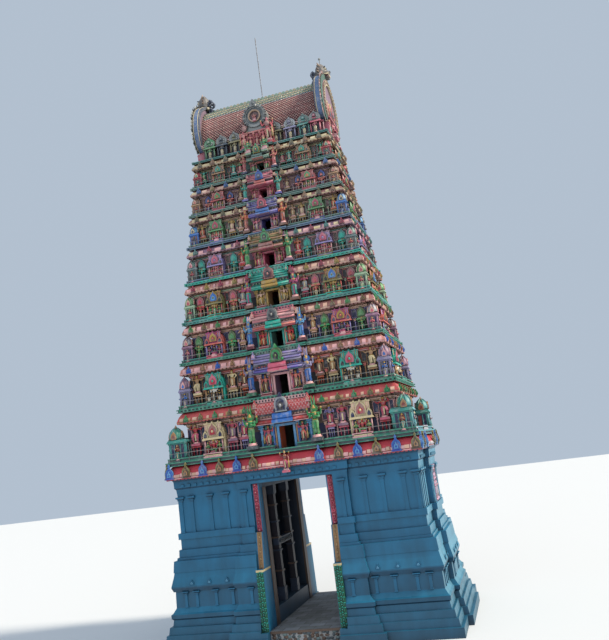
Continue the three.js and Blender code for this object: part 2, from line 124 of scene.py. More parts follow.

# %% [markdown]
# ## Paint
#
# The whole tower is limewashed and painted plaster: matt, a little chalky, darker where rain carries dirt
# down. One material recipe covers it. Its colour comes either from a few paints,
# for the large plain masses, or from a paint stored on every face, for the crowded sculpture. Noise in
# object coordinates adds patches, rain streaks and a fine grain. Ambient occlusion darkens joints and
# recesses, partly as dirt and partly as painted shade. The recipe also paints light: what looks up is
# painted lighter and what looks down darker, higher parts get a painted haze, and where asked the foot is
# painted darker and the sunlit short sides paler.

# %% Named paints
PAINTS = {
    "white": (214, 212, 204), "cream": (206, 186, 142), "blush": (214, 160, 160), "pink": (200, 92, 116),
    "rose": (176, 62, 88), "crimson": (170, 34, 52), "red": (192, 44, 56), "salmon": (196, 98, 88),
    "orange": (198, 92, 52), "brown": (118, 78, 60), "rust": (128, 56, 52), "tan": (166, 124, 84),
    "gold": (172, 136, 62), "olive": (122, 112, 62), "moss": (84, 104, 62), "green": (44, 138, 78),
    "bottle": (24, 92, 66), "leaf": (86, 142, 86), "mint": (150, 178, 146), "teal": (34, 140, 128),
    "aqua": (32, 166, 146), "sage": (86, 120, 110), "sky": (88, 150, 196), "blue": (48, 104, 178),
    "royal": (44, 74, 166), "navy": (26, 32, 72), "violet": (98, 88, 166), "lavender": (142, 130, 184),
    "mauve": (136, 98, 122), "magenta": (162, 58, 108), "grey": (126, 126, 124), "black": (26, 26, 30),
    "maroon": (92, 36, 48), "shadow": (34, 30, 40), "base_blue": (12, 98, 135),
    "base_light": (104, 164, 196), "stone": (176, 172, 160), "slate": (66, 76, 82),
    "umber": (84, 66, 56), "pewter": (92, 110, 112), "silver": (152, 154, 158), "peach": (206, 164, 142),
    "roof_red": (168, 94, 90), "brick": (184, 66, 68), "gable_blue": (44, 84, 140),
    "tile_red": (160, 94, 88), "shell": (184, 128, 118), "foam": (104, 142, 130),
    "heather": (128, 122, 156), "coral": (196, 118, 126), "main_red": (172, 50, 62),
    "madder": (182, 80, 80), "mist": (92, 120, 148), "sea": (58, 134, 126), "jade": (52, 134, 112),
    "deep_blue": (24, 66, 96), "dusk": (44, 54, 72), "jamb_gold": (146, 112, 74),
    "jamb_pink": (178, 74, 90), "ink": (26, 40, 84), "old_rose": (158, 104, 98),
}


def linear(name):
    """A named paint in the linear colours that shaders work with."""
    def channel(value):
        share = value / 255
        return share / 12.92 if share < 0.04045 else ((share + 0.055) / 1.055) ** 2.4

    return (*(channel(value) for value in PAINTS[name]), 1.0)


def grey(level):
    return (level, level, level, 1)


print(len(PAINTS), "paints")

# %% Shader nodes
def add(tree, kind, inputs, **settings):
    """A shader node. An input that is given a socket is wired to it, any other is set to its value."""
    node = tree.nodes.new("ShaderNode" + kind)
    for name, value in settings.items():
        setattr(node, name, value)
    for name, value in inputs.items():
        if isinstance(value, bpy.types.NodeSocket):
            tree.links.new(value, node.inputs[name])
        else:
            node.inputs[name].default_value = value
    return node


def shader(name, roughness=0.5):
    material = bpy.data.materials.new(name)
    material.use_nodes = True
    surface = material.node_tree.nodes["Principled BSDF"]
    surface.inputs["Roughness"].default_value = roughness
    return material, material.node_tree, surface


def place_of(tree):
    return add(tree, "TexCoord", {}).outputs["Object"]


def axes(tree, vector):
    return add(tree, "SeparateXYZ", {"Vector": vector}).outputs


def calculate(tree, operation, *values):
    return add(tree, "Math", dict(enumerate(values)), operation=operation).outputs[0]


def noise_on(tree, place, scale, detail, stretch=(1, 1, 1)):
    mapping = add(tree, "Mapping", {"Vector": place, "Scale": stretch})
    inputs = {"Vector": mapping.outputs[0], "Scale": scale, "Detail": detail}
    return add(tree, "TexNoise", inputs).outputs["Fac"]


def ramp(tree, factor, stops):
    node = add(tree, "ValToRGB", {"Fac": factor})
    elements = node.color_ramp.elements
    while len(elements) < len(stops):
        elements.new(0.5)
    for element, (position, colour) in zip(elements, stops):
        element.position = position
        element.color = colour
    return node.outputs["Color"]


def mix(tree, colour, other, share, blend="MIX"):
    inputs = {"Fac": share, "Color1": colour, "Color2": other}
    return add(tree, "MixRGB", inputs, blend_type=blend).outputs["Color"]

# %% Weather and painted light on the plaster
HAZE_FROM, HAZE_TO = 18, 36
# The foot of the base is painted darker and darker from the first height down to the second: painted shade.
FOOT_SHADE_FROM, FOOT_SHADE_TO = 7.0, 0.5
SHORT_SIDE_FROM = 7.1


def painted_slope_light(tree, colour, share):
    """Painted light: what looks up is painted lighter, as a highlight from the sky, and what looks down
    darker, as painted shade.
    """
    normal = add(tree, "NewGeometry", {}).outputs["Normal"]
    upward = calculate(tree, "MULTIPLY_ADD", axes(tree, normal)["Z"], 0.5, 0.5)
    # Bluish dark is painted shade on undersides, warm light is a painted highlight on tops.
    stops = [(0.20, (0.34, 0.36, 0.42, 1)), (0.47, grey(0.90)), (0.53, grey(1.0)),
             (0.70, (1.75, 1.62, 1.50, 1))]
    return mix(tree, colour, ramp(tree, upward, stops), share, "MULTIPLY")


def by_height(tree, colour, place, low, high, tint, most):
    """Mixes a tint in, more and more between two heights."""
    limits = {"From Min": low, "From Max": high, "To Max": most}
    share = add(tree, "MapRange", {"Value": axes(tree, place)["Z"], **limits}).outputs["Result"]
    return mix(tree, colour, tint, share)


def bleached(tree, colour, place, most):
    """Painted sunlight: mixes a pale blue into what faces sideways on the short sides of the tower, where
    the sun stands on it.
    """
    normal = add(tree, "NewGeometry", {}).outputs["Normal"]
    sideways = calculate(tree, "ABSOLUTE", axes(tree, normal)["X"])
    distance = calculate(tree, "ABSOLUTE", axes(tree, place)["X"])
    outside = calculate(tree, "GREATER_THAN", distance, SHORT_SIDE_FROM)
    share = calculate(tree, "MULTIPLY", calculate(tree, "MULTIPLY", sideways, outside), most)
    return mix(tree, colour, (0.17, 0.40, 0.54, 1), share)


def weathered(tree, surface, colour, place, grain=24, bump=0.25, reach=0.5, slope=0.35, damp=0.0, bleach=0.0,
              chalk=0.0):
    """Dirt, streaks, patches and grain, with painted light: a painted haze higher up, painted shade in
    recesses, lighter tops and darker undersides, and where asked a darker foot and paler sunlit sides.
    """
    if chalk:
        pale = ramp(tree, noise_on(tree, place, 4.5, 4), [(0.48, grey(0.0)), (0.66, grey(chalk))])
        colour = mix(tree, colour, (0.44, 0.40, 0.37, 1), pale)
    # Painted sunlight on the short sides.
    if bleach:
        colour = bleached(tree, colour, place, bleach)
    colour = by_height(tree, colour, place, HAZE_FROM, HAZE_TO, (0.36, 0.42, 0.44, 1), 0.24)
    # Painted shade, darker towards the foot.
    if damp:
        colour = by_height(tree, colour, place, FOOT_SHADE_FROM, FOOT_SHADE_TO, (0.008, 0.04, 0.07, 1), damp)
    colour = painted_slope_light(tree, colour, slope)
    patches = ramp(tree, noise_on(tree, place, 0.7, 6), [(0.3, grey(0.80)), (0.7, grey(1.12))])
    streaks = ramp(tree, noise_on(tree, place, 2.2, 5, (1, 1, 0.12)), [(0.35, grey(0.72)), (0.62, grey(1))])
    # Ambient occlusion darkens joints and recesses, partly as dirt and partly as painted shade.
    shade = add(tree, "AmbientOcclusion", {"Distance": reach}, samples=4).outputs["AO"]
    dirt_and_painted_shade = ramp(tree, shade, [(0.12, (0.07, 0.07, 0.09, 1)), (0.72, grey(1))])
    for layer, share in ((patches, 0.9), (streaks, 0.6), (dirt_and_painted_shade, 0.85)):
        colour = mix(tree, colour, layer, share, "MULTIPLY")
    height = noise_on(tree, place, grain, 4)
    relief = add(tree, "Bump", {"Strength": bump, "Distance": 0.02, "Height": height})
    tree.links.new(colour, surface.inputs["Base Color"])
    tree.links.new(relief.outputs["Normal"], surface.inputs["Normal"])

# %% Painted plaster
def plaster(name, paint_name=None, zones=(), **care):
    """Painted plaster: one paint, or with no name the paint stored on each face.

    Zones have other paints, as (paint, {axis: (least, most) distance from the middle}).
    """
    material, tree, surface = shader(name)
    place = place_of(tree)
    if paint_name:
        colour = linear(paint_name)
    else:
        colour = add(tree, "Attribute", {}, attribute_name="paint").outputs["Color"]
    along = axes(tree, place)
    for zone_paint, limits in zones:
        inside = 1.0
        for axis, (least, most) in limits.items():
            distance = calculate(tree, "ABSOLUTE", along[axis])
            for operation, limit in (("GREATER_THAN", least), ("LESS_THAN", most)):
                inside = calculate(tree, "MULTIPLY", inside, calculate(tree, operation, distance, limit))
        colour = mix(tree, colour, linear(zone_paint), inside)
    weathered(tree, surface, colour, place, **care)
    return material


def cover(node, material):
    """Gives a CAD node its finish."""
    slots = nodes[node].material_slots
    if slots:
        slots[0].material = material
    else:
        nodes[node].data.materials.append(material)


# The sculpture gets pale chalky patches and, on the sunlit short sides, paler painted sunlight.
many_paints = plaster("many_paints", chalk=0.30, bleach=0.55)
plain_paints = plaster("plain_paints")

# %% [markdown]
# ## A modelling bench
#
# Most of the sculpture is made from a few simple forms: blocks, turned drums, balls and flat cut-outs. The
# bench below makes them with bmesh operators and remembers which part of the model each face belongs to,
# so that a copy can be painted differently later. Because the same small models repeat hundreds of times,
# each is made once and its copies are joined into one mesh for every storey.

# %% The bench
class Clay:
    """A small model in progress, with the name of a part on every face."""

    def __init__(self):
        self.bm = bmesh.new()
        self.parts = []

    def mark(self, verts, part, smooth=False):
        if part not in self.parts:
            self.parts.append(part)
        for face in {face for vert in verts for face in vert.link_faces}:
            face.material_index = self.parts.index(part)
            face.smooth = smooth

    def made_since(self, before):
        return [vert for vert in self.bm.verts if vert not in before]

    def block(self, low, high, part, top=(1, 1), bevel=0.0):
        """A box between two corners. top scales its upper face, bevel rounds its edges."""
        low, high = Vector(low), Vector(high)
        middle, size = (low + high) / 2, high - low
        where = Matrix.Translation(middle) @ Matrix.Diagonal((*size, 1))
        verts = bmesh.ops.create_cube(self.bm, size=1, matrix=where)["verts"]
        for vert in verts:
            if vert.co.z > middle.z:
                vert.co.x = middle.x + (vert.co.x - middle.x) * top[0]
                vert.co.y = middle.y + (vert.co.y - middle.y) * top[1]
        self.mark(verts, part)
        if bevel:
            edges = list({edge for vert in verts for edge in vert.link_edges})
            bmesh.ops.bevel(self.bm, geom=edges, offset=bevel, segments=1, affect="EDGES", profile=0.5,
                            material=-1)
        return self

    def slab(self, half, front, low, high, part, top=(1, 1), bevel=0.0, along=0.0):
        """A block against a wall at y = 0: half its width, how far it stands out and its two heights."""
        return self.block((along - half, -front, low), (along + half, 0.02, high), part, top, bevel)

    def rod(self, start, end, thick, thin, part, sides=6):
        """A round bar between two points, tapering from one radius to the other."""
        start, end = Vector(start), Vector(end)
        run = end - start
        where = Matrix.Translation((start + end) / 2) @ run.to_track_quat("Z", "Y").to_matrix().to_4x4()
        made = bmesh.ops.create_cone(self.bm, cap_ends=True, segments=sides, radius1=thick, radius2=thin,
                                     depth=run.length, matrix=where)
        self.mark(made["verts"], part, sides > 5)
        return self

    def ball(self, centre, radii, part, sides=8, rings=5):
        where = Matrix.Translation(centre) @ Matrix.Diagonal((*radii, 1))
        made = bmesh.ops.create_uvsphere(self.bm, u_segments=sides, v_segments=rings, radius=1, matrix=where)
        self.mark(made["verts"], part, True)
        return self

    def turned(self, profile, part, sides=8, centre=(0, 0, 0), squash=1.0):
        """A drum spun from (radius, height) pairs that start and end on the axis. squash flattens it."""
        before = set(self.bm.verts)
        verts = [self.bm.verts.new((radius, 0, height)) for radius, height in profile]
        edges = [self.bm.edges.new(pair) for pair in zip(verts, verts[1:])]
        bmesh.ops.spin(self.bm, geom=verts + edges, cent=(0, 0, 0), axis=(0, 0, 1), angle=math.tau,
                       steps=sides, use_merge=True)
        bmesh.ops.remove_doubles(self.bm, verts=self.made_since(before), dist=1e-5)
        shell = self.made_since(before)
        faces = list({face for vert in shell for face in vert.link_faces})
        bmesh.ops.recalc_face_normals(self.bm, faces=faces)
        where = Matrix.Translation(centre) @ Matrix.Diagonal((1, squash, 1, 1))
        bmesh.ops.transform(self.bm, matrix=where, verts=shell)
        self.mark(shell, part, True)
        return self

    def pushed(self, corners, travel, part):
        """A flat outline given a thickness."""
        verts = [self.bm.verts.new(corner) for corner in corners]
        made = bmesh.ops.extrude_face_region(self.bm, geom=[self.bm.faces.new(verts)])
        moved = [item for item in made["geom"] if isinstance(item, bmesh.types.BMVert)]
        bmesh.ops.translate(self.bm, verts=moved, vec=travel)
        faces = list({face for vert in verts + moved for face in vert.link_faces})
        bmesh.ops.recalc_face_normals(self.bm, faces=faces)
        self.mark(verts + moved, part)
        return self

    def cutout(self, outline, front, back, part):
        """A shape drawn in X and Z, with a thickness along Y."""
        return self.pushed([(x, back, z) for x, z in outline], (0, front - back, 0), part)

    def bar(self, outline, left, right, part):
        """A moulding drawn in Y and Z and run along X."""
        return self.pushed([(left, y, z) for y, z in outline], (right - left, 0, 0), part)

    def on_four_sides(self, make):
        """Makes the same thing on each side of a square plan."""
        for quarter in range(4):
            before = set(self.bm.verts)
            make()
            turn = Matrix.Rotation(quarter * math.pi / 2, 4, "Z")
            bmesh.ops.transform(self.bm, matrix=turn, verts=self.made_since(before))

    def fired(self):
        """The finished model as arrays: corners, triangles, part numbers and smooth flags."""
        bmesh.ops.triangulate(self.bm, faces=self.bm.faces)
        self.bm.verts.index_update()
        model = {
            "corners": np.array([vert.co for vert in self.bm.verts]),
            "triangles": np.array([[vert.index for vert in face.verts] for face in self.bm.faces]),
            "part_of": np.array([face.material_index for face in self.bm.faces]),
            "smooth": np.array([face.smooth for face in self.bm.faces]),
            "parts": self.parts,
        }
        self.bm.free()
        return model

# %% Places on the tower
def at(x=0.0, y=0.0, z=0.0, turn=0.0, scale=1.0):
    """Place, turn about the upright axis in degrees, and size, as one matrix."""
    sizes = (scale, scale, scale) if isinstance(scale, (int, float)) else scale
    return (Matrix.Translation((x, y, z)) @ Matrix.Rotation(math.radians(turn), 4, "Z")
            @ Matrix.Diagonal((*sizes, 1)))


# The four faces of the tower, as the turn that brings a front-facing model to each
FRONT, RIGHT, BACK, LEFT = 0, 90, 180, 270
LONG, SHORT = (FRONT, BACK), (RIGHT, LEFT)


def on_face(face, along, out, z, scale=1.0, turn=0.0):
    """Place on a face: along it from the middle, out from the tower's axis, and up."""
    return Matrix.Rotation(math.radians(face), 4, "Z") @ at(along, -out, z, turn, scale)

# %% Joining copies
total_triangles = 0


class Copies:
    """Placed copies of small models, joined into one piece with a paint on every face."""

    def __init__(self, name, slot):
        self.name, self.slot = name, slot
        self.corners, self.triangles, self.colours, self.smooth = [], [], [], []
        self.count = 0

    def place(self, model, where, paints, fade=0.07):
        """Adds a copy. paints is one paint, or a paint for each part, and fade varies how light it is."""
        turn = np.array(where)
        triangles = model["triangles"] + self.count
        if where.determinant() < 0:
            triangles = triangles[:, ::-1]
        tone = 1 + dice.uniform(-fade, fade)
        names = [paints if isinstance(paints, str) else paints[part] for part in model["parts"]]
        table = np.array([linear(name) for name in names])
        table[:, :3] *= tone
        self.corners.append(model["corners"] @ turn[:3, :3].T + turn[:3, 3])
        self.triangles.append(triangles)
        self.colours.append(table[model["part_of"]])
        self.smooth.append(model["smooth"])
        self.count += len(model["corners"])

    def put(self, model, face, along, out, z, scale, paints, fade=0.07):
        self.place(model, on_face(face, along, out, z, scale), paints, fade)

    def finish(self, material=many_paints):
        global total_triangles
        corners = np.concatenate(self.corners)
        triangles = np.concatenate(self.triangles)
        mesh = bpy.data.meshes.new(self.name)
        mesh.vertices.add(len(corners))
        mesh.vertices.foreach_set("co", corners.astype(np.float32).ravel())
        mesh.loops.add(triangles.size)
        mesh.loops.foreach_set("vertex_index", triangles.astype(np.int32).ravel())
        mesh.polygons.add(len(triangles))
        mesh.polygons.foreach_set("loop_start", np.arange(0, triangles.size, 3, dtype=np.int32))
        mesh.polygons.foreach_set("use_smooth", np.concatenate(self.smooth))
        mesh.update(calc_edges=True)
        layer = mesh.attributes.new("paint", "FLOAT_COLOR", "FACE")
        layer.data.foreach_set("color", np.concatenate(self.colours).astype(np.float32).ravel())
        mesh.validate()
        mesh.materials.append(material)
        piece = bpy.data.objects.new(self.name, mesh)
        scene.collection.objects.link(piece)
        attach(piece, "root")
        total_triangles += len(triangles)
        print(self.name, len(triangles), "triangles")

# %% [markdown]
# ## Figures
#
# A storey carries dozens of plaster figures: door guardians, attendants, dancers and seated figures. They
# are built one unit high from turned drums, tapering limbs and a tall crown, and stand on a small lotus
# base. A pose only says where the elbows, hands and knees are.

# %% Poses
# For each arm the elbow, the hand and what it holds
ARM_POSES = {
    "blessing": [((0.175, -0.03, 0.63), (0.155, -0.12, 0.745), None),
                 ((-0.19, -0.01, 0.64), (-0.115, -0.06, 0.53), None)],
    "offering": [((0.17, -0.04, 0.62), (0.07, -0.14, 0.66), "bowl"),
                 ((-0.17, -0.04, 0.62), (-0.07, -0.14, 0.66), None)],
    "guarding": [((0.20, 0.0, 0.63), (0.21, -0.09, 0.51), "club"),
                 ((-0.21, 0.0, 0.69), (-0.24, -0.04, 0.84), "disc")],
    "dancing": [((0.215, 0.0, 0.76), (0.15, -0.01, 0.93), "flower"),
                ((-0.215, 0.0, 0.70), (-0.285, -0.04, 0.79), None)],
}
BACK_ARMS = [((0.22, 0.03, 0.71), (0.235, 0.01, 0.85), "flower"),
             ((-0.22, 0.03, 0.71), (-0.235, 0.01, 0.85), "disc")]
STRAIGHT_LEG = (0.055, -0.03, 0.28), (0.06, 0.0, 0.11)
BENT_LEG = (0.13, -0.07, 0.31), (0.10, -0.02, 0.11)


def limb(clay, points, widths, part, sides=5):
    for (start, end), (thick, thin) in zip(zip(points, points[1:]), zip(widths, widths[1:])):
        clay.rod(start, end, thick, thin, part, sides)


def add_arm(clay, elbow, hand, prop, drop):
    shoulder = (math.copysign(0.118, elbow[0]), 0.0, 0.755)
    joints = [Vector(point) - Vector((0, 0, drop)) for point in (shoulder, elbow, hand)]
    limb(clay, joints, (0.038, 0.032, 0.022), "skin")
    clay.ball(joints[0], (0.040, 0.036, 0.036), "gold", 5, 3)
    clay.ball(joints[2], (0.026, 0.026, 0.032), "skin", 5, 3)
    if prop == "club":
        foot, top = joints[2] + Vector((0, -0.01, -0.38)), joints[2] + Vector((0, -0.01, 0.03))
        clay.rod(foot, top, 0.055, 0.016, "prop")
    elif prop:
        clay.ball(joints[2] + Vector((0, -0.005, 0.045)), (0.045, 0.018, 0.045), "prop", 6, 3)

# %% The figure
def crossed_legs(clay):
    clay.block((-0.20, -0.15, 0), (0.20, 0.10, 0.17), "pedestal", (0.86, 0.9))
    clay.turned([(0.0, 0.16), (0.19, 0.16), (0.21, 0.20), (0.17, 0.24), (0.0, 0.25)], "lotus", squash=0.8)
    for side in (-1, 1):
        clay.ball((side * 0.12, -0.05, 0.29), (0.11, 0.08, 0.052), "garment", 7, 4)
    clay.rod((0.16, -0.09, 0.29), (-0.02, -0.15, 0.27), 0.040, 0.030, "garment")
    clay.rod((-0.15, -0.11, 0.28), (-0.13, -0.165, 0.10), 0.040, 0.028, "garment")


def standing_legs(clay, bent):
    foot = [(0.0, 0.0), (0.17, 0.0), (0.17, 0.03), (0.125, 0.045), (0.155, 0.085), (0.0, 0.09)]
    clay.turned(foot, "pedestal", squash=0.75)
    for side in (-1, 1):
        knee, ankle = BENT_LEG if bent and side > 0 else STRAIGHT_LEG
        points = [(side * 0.05, 0.0, 0.49), (side * knee[0], *knee[1:]), (side * ankle[0], *ankle[1:])]
        limb(clay, points, (0.072, 0.056, 0.040), "garment")
        toes = side * ankle[0]
        clay.block((toes - 0.026, -0.075, 0.085), (toes + 0.026, 0.03, 0.125), "skin", (0.7, 0.7))
    clay.block((-0.022, -0.078, 0.14), (0.022, -0.03, 0.47), "sash", (1.4, 1.0))


BODY_DRUMS = (
    ("garment", 0.68, [(0.0, 0.44), (0.105, 0.455), (0.112, 0.50), (0.080, 0.555), (0.0, 0.565)]),
    ("skin", 0.60, [(0.0, 0.54), (0.072, 0.55), (0.070, 0.61), (0.104, 0.69), (0.118, 0.745), (0.072, 0.785),
                    (0.034, 0.83), (0.0, 0.83)]),
    ("gold", 0.70, [(0.0, 0.535), (0.098, 0.535), (0.098, 0.56), (0.0, 0.56)]),
    ("gold", 0.70, [(0.0, 0.738), (0.092, 0.738), (0.092, 0.78), (0.0, 0.78)]),
    ("gold", 1.0, [(0.0, 0.885), (0.060, 0.885), (0.064, 0.910), (0.048, 0.925), (0.052, 0.950),
                   (0.030, 0.985), (0.0, 1.035)]),
)
SEAT_DROP, HEAD_HEIGHT, HALO_HEIGHT, HALO = 0.17, 0.868, 0.885, 0.125


def disc(radius, height=0.0, steps=10):
    """Outline of a round plate in X and Z."""
    turns = [step * math.tau / steps for step in range(steps)]
    return [(radius * math.cos(turn), height + radius * math.sin(turn)) for turn in turns]


def figure(arms, legs="straight", four_arms=False, halo=True):
    clay = Clay()
    drop = SEAT_DROP if legs == "seated" else 0.0
    if legs == "seated":
        crossed_legs(clay)
    else:
        standing_legs(clay, legs == "bent")
    for part, squash, drum in BODY_DRUMS:
        clay.turned([(radius, height - drop) for radius, height in drum], part, squash=squash)
    clay.ball((0, -0.006, HEAD_HEIGHT - drop), (0.052, 0.056, 0.060), "skin")
    for elbow, hand, prop in ARM_POSES[arms] + (BACK_ARMS if four_arms else []):
        add_arm(clay, elbow, hand, prop, drop)
    if halo:
        clay.cutout(disc(HALO, HALO_HEIGHT - drop), 0.045, 0.075, "halo")
    return clay.fired()


figures = {
    "guardian": figure("guarding", "bent", four_arms=True, halo=False),
    "attendant": figure("blessing"),
    "bearer": figure("offering", halo=False),
    "dancer": figure("dancing", "bent"),
    "seated": figure("blessing", "seated", four_arms=True),
    "crowned": figure("offering", four_arms=True),
}
print({name: len(model["triangles"]) for name, model in figures.items()}, "triangles")


def dress(skin, garment, gold="gold", halo="rose", base="blush", sash="cream"):
    """The paints of a figure."""
    return {"skin": skin, "garment": garment, "gold": gold, "halo": halo, "pedestal": base, "lotus": "pink",
            "sash": sash, "prop": "gold"}

# %% [markdown]
# ## Arches, shrines and trim
#
# The arch called a kudu repeats at every scale: a horseshoe with a dark eye and a leaf on top, or a narrow
# one like a flame on the eaves. With posts, dark panels, domes, tiles and small blocks it makes up all the
# small architecture. Each is modelled once, about one unit in size, and stretched to its place.

# %% Arches
def horseshoe(width, height, steps):
    """Outline of an arch that closes in slightly at its foot, standing on z = 0."""
    start = -0.20 * math.pi
    points = [(width / 2 * 0.96, 0.0)]
    for step in range(steps + 1):
        angle = start + (math.pi - 2 * start) * step / steps
        points.append((width / 2 * math.cos(angle), height * (0.45 + 0.55 * math.sin(angle))))
    return points + [(-width / 2 * 0.96, 0.0)]


def both_sides(half):
    """Outline from its right half, listed from the foot up, with the top point on the middle line."""
    return half + [(-x, z) for x, z in reversed(half) if x > 0]


def nested(clay, outline, layers, along=0.0):
    """The same outline in layers, each smaller and further out: (width, height, foot, front, part)."""
    for wide, tall, foot, front, part in layers:
        clay.cutout([(x * wide + along, z * tall + foot) for x, z in outline], -front, 0.02, part)


def kudu():
    clay = Clay()
    clay.cutout(horseshoe(1.0, 1.0, 14), -0.10, 0.06, "rim")
    clay.cutout([(x, z + 0.09) for x, z in horseshoe(0.70, 0.74, 10)], -0.17, 0.0, "ring")
    clay.cutout([(x, z + 0.13) for x, z in horseshoe(0.46, 0.52, 8)], -0.19, 0.0, "eye")
    clay.ball((0, -0.19, 0.38), (0.11, 0.07, 0.13), "boss", 6, 4)
    clay.cutout(both_sides([(0.16, 0.94), (0.09, 1.12), (0.0, 1.26)]), -0.13, 0.03, "leaf")
    for side in (-1, 1):
        clay.ball((side * 0.50, -0.06, 0.13), (0.12, 0.08, 0.12), "curl", 6, 4)
    return clay.fired()


FLAME = both_sides([(0.52, 0.0), (0.52, 0.07), (0.44, 0.12), (0.50, 0.28), (0.48, 0.44), (0.36, 0.58),
                    (0.17, 0.67), (0.08, 0.76), (0.14, 0.86), (0.0, 1.0)])
ROUNDED = both_sides([(0.42, 0.0), (0.50, 0.16), (0.50, 0.38), (0.42, 0.58), (0.26, 0.74), (0.10, 0.83),
                      (0.06, 0.92), (0.0, 1.0)])
POINTED = both_sides([(0.40, 0.0), (0.50, 0.18), (0.47, 0.42), (0.33, 0.64), (0.13, 0.80), (0.04, 0.92),
                      (0.0, 1.0)])


def flame():
    """Bell-shaped arch that leans on the roll of an eave."""
    clay = Clay()
    nested(clay, FLAME, ((1, 1, 0, 0.10, "rim"), (0.70, 0.66, 0.07, 0.14, "ring"),
                         (0.44, 0.42, 0.14, 0.18, "eye"), (0.20, 0.18, 0.20, 0.20, "ring")))
    return clay.slab(0.56, 0.13, -0.02, 0.06, "ring").fired()

# %% Posts and panels
def column():
    """Round column one unit high, with a bulb, a bell and a square cap."""
    shaft = [(0.0, 0.07), (0.065, 0.08), (0.055, 0.14), (0.05, 0.40), (0.062, 0.44), (0.05, 0.48),
             (0.048, 0.70), (0.075, 0.76), (0.045, 0.80), (0.085, 0.86), (0.0, 0.87)]
    clay = Clay()
    clay.block((-0.09, -0.09, 0), (0.09, 0.09, 0.08), "foot")
    clay.turned(shaft, "shaft")
    clay.block((-0.09, -0.09, 0.86), (0.09, 0.09, 0.90), "capital")
    clay.block((-0.06, -0.06, 0.90), (0.06, 0.06, 1.0), "capital", (1.9, 1.9))
    return clay.fired()


def panel():
    """A dark niche plate in a raised frame, one unit wide and high."""
    clay = Clay()
    clay.slab(0.42, 0.02, 0.06, 0.94, "plate")
    clay.slab(0.50, 0.07, 0, 0.05, "frame")
    clay.slab(0.50, 0.07, 0.95, 1.0, "frame")
    for x in (-0.47, 0.47):
        clay.slab(0.03, 0.06, 0.05, 0.95, "frame", along=x)
    return clay.fired()


def foliage():
    """Spray of leaves behind a guardian, one unit wide and high."""
    clay = Clay()
    leaf = [(0.0, 0.0), (0.10, 0.12), (0.07, 0.26), (0.0, 0.36), (-0.07, 0.26), (-0.10, 0.12)]
    for row, (height, lean) in enumerate(((0.05, 70), (0.28, 52), (0.50, 38), (0.68, 16))):
        for side in (-1, 1):
            cos, sin = math.cos(math.radians(lean)), side * math.sin(math.radians(lean))
            points = [(x * cos + z * sin + side * 0.10, z * cos - x * sin + height) for x, z in leaf]
            clay.cutout(points, -0.05 - 0.01 * row, 0.03, ("stem", "leaf")[row % 2])
    return clay.fired()

# %% Shrines
def row_of_rods(clay, places, out, low, high, thick, thin, sides=6):
    for x in places:
        clay.rod((x, -out, low), (x, -out, high), thick, thin, "shaft", sides)


def shrine_body():
    """Corner shrine: unit plan, heights as shares of the storey. Dark openings between slender posts."""
    clay = Clay()
    clay.block((-0.54, -0.54, 0.0), (0.54, 0.54, 0.05), "foot")
    clay.block((-0.52, -0.52, 0.05), (0.52, 0.52, 0.09), "frame")
    for x in (-0.47, 0.47):
        for y in (-0.47, 0.47):
            clay.rod((x, y, 0.09), (x, y, 0.46), 0.060, 0.050, "shaft", 7)
            clay.block((x - 0.07, y - 0.07, 0.46), (x + 0.07, y + 0.07, 0.51), "frame", (1.3, 1.3))

    def opening():
        clay.block((-0.36, -0.515, 0.10), (0.36, -0.49, 0.46), "plate")
        clay.block((-0.09, -0.53, 0.10), (0.09, -0.50, 0.42), "middle")
        row_of_rods(clay, (-0.17, 0.17), 0.53, 0.10, 0.45, 0.035, 0.030, 5)

    clay.on_four_sides(opening)
    clay.block((-0.62, -0.62, 0.50), (0.62, 0.62, 0.575), "eave", (0.86, 0.86))
    clay.block((-0.50, -0.50, 0.575), (0.50, 0.50, 0.605), "frame")
    return clay.fired()


def dome():
    """Ribbed dome with a finial. Plan in units of the shrine's size, heights as shares of the storey."""
    clay = Clay()
    shell = [(0.0, -0.02), (0.52, -0.02), (0.58, 0.03), (0.56, 0.10), (0.45, 0.19), (0.28, 0.25),
             (0.10, 0.29), (0.0, 0.30)]
    finial = [(0.0, 0.27), (0.16, 0.27), (0.18, 0.29), (0.07, 0.30), (0.10, 0.33), (0.03, 0.36), (0.0, 0.39)]
    clay.turned(shell, "dome", 12)
    for rib in range(8):
        spin = Matrix.Rotation((rib + 0.5) * math.tau / 8, 4, "Z")
        points = [spin @ Vector((radius * 1.01, 0, z)) for radius, z in shell[2:-1]]
        limb(clay, points, (0.03,) * len(points), "rib", 4)
    arch = (0.50, 0.22, -0.01, 0.60, "arch"), (0.28, 0.11, 0.01, 0.63, "eye")
    clay.on_four_sides(lambda: nested(clay, POINTED, arch))
    return clay.turned(finial, "finial", 7).fired()


def bay():
    """Narrow shrine one unit wide, heights as shares of the storey: two columns and a pointed dome."""
    clay = Clay()
    clay.slab(0.50, 0.17, 0.0, 0.05, "foot")
    clay.block((-0.36, -0.03, 0.05), (0.36, 0.0, 0.46), "plate")
    row_of_rods(clay, (-0.42, 0.42), 0.11, 0.05, 0.46, 0.085, 0.065)
    clay.slab(0.66, 0.22, 0.46, 0.52, "eave", (0.84, 0.7))
    clay.slab(0.46, 0.12, 0.52, 0.57, "shaft")
    nested(clay, ROUNDED, ((1.06, 0.36, 0.56, 0.13, "dome"), (0.70, 0.23, 0.58, 0.17, "ring"),
                           (0.36, 0.13, 0.60, 0.20, "eye")))
    return clay.fired()


def perch():
    """Pierced pedestal one unit wide, heights as shares of the storey, for a figure under the cornice."""
    clay = Clay()
    clay.slab(0.50, 0.20, 0.0, 0.05, "foot")
    clay.block((-0.40, -0.05, 0.05), (0.40, 0.0, 0.31), "plate")
    row_of_rods(clay, (-0.40, 0.0, 0.40), 0.13, 0.05, 0.31, 0.085, 0.065)
    return clay.slab(0.60, 0.24, 0.31, 0.36, "eave", (0.84, 0.8)).fired()


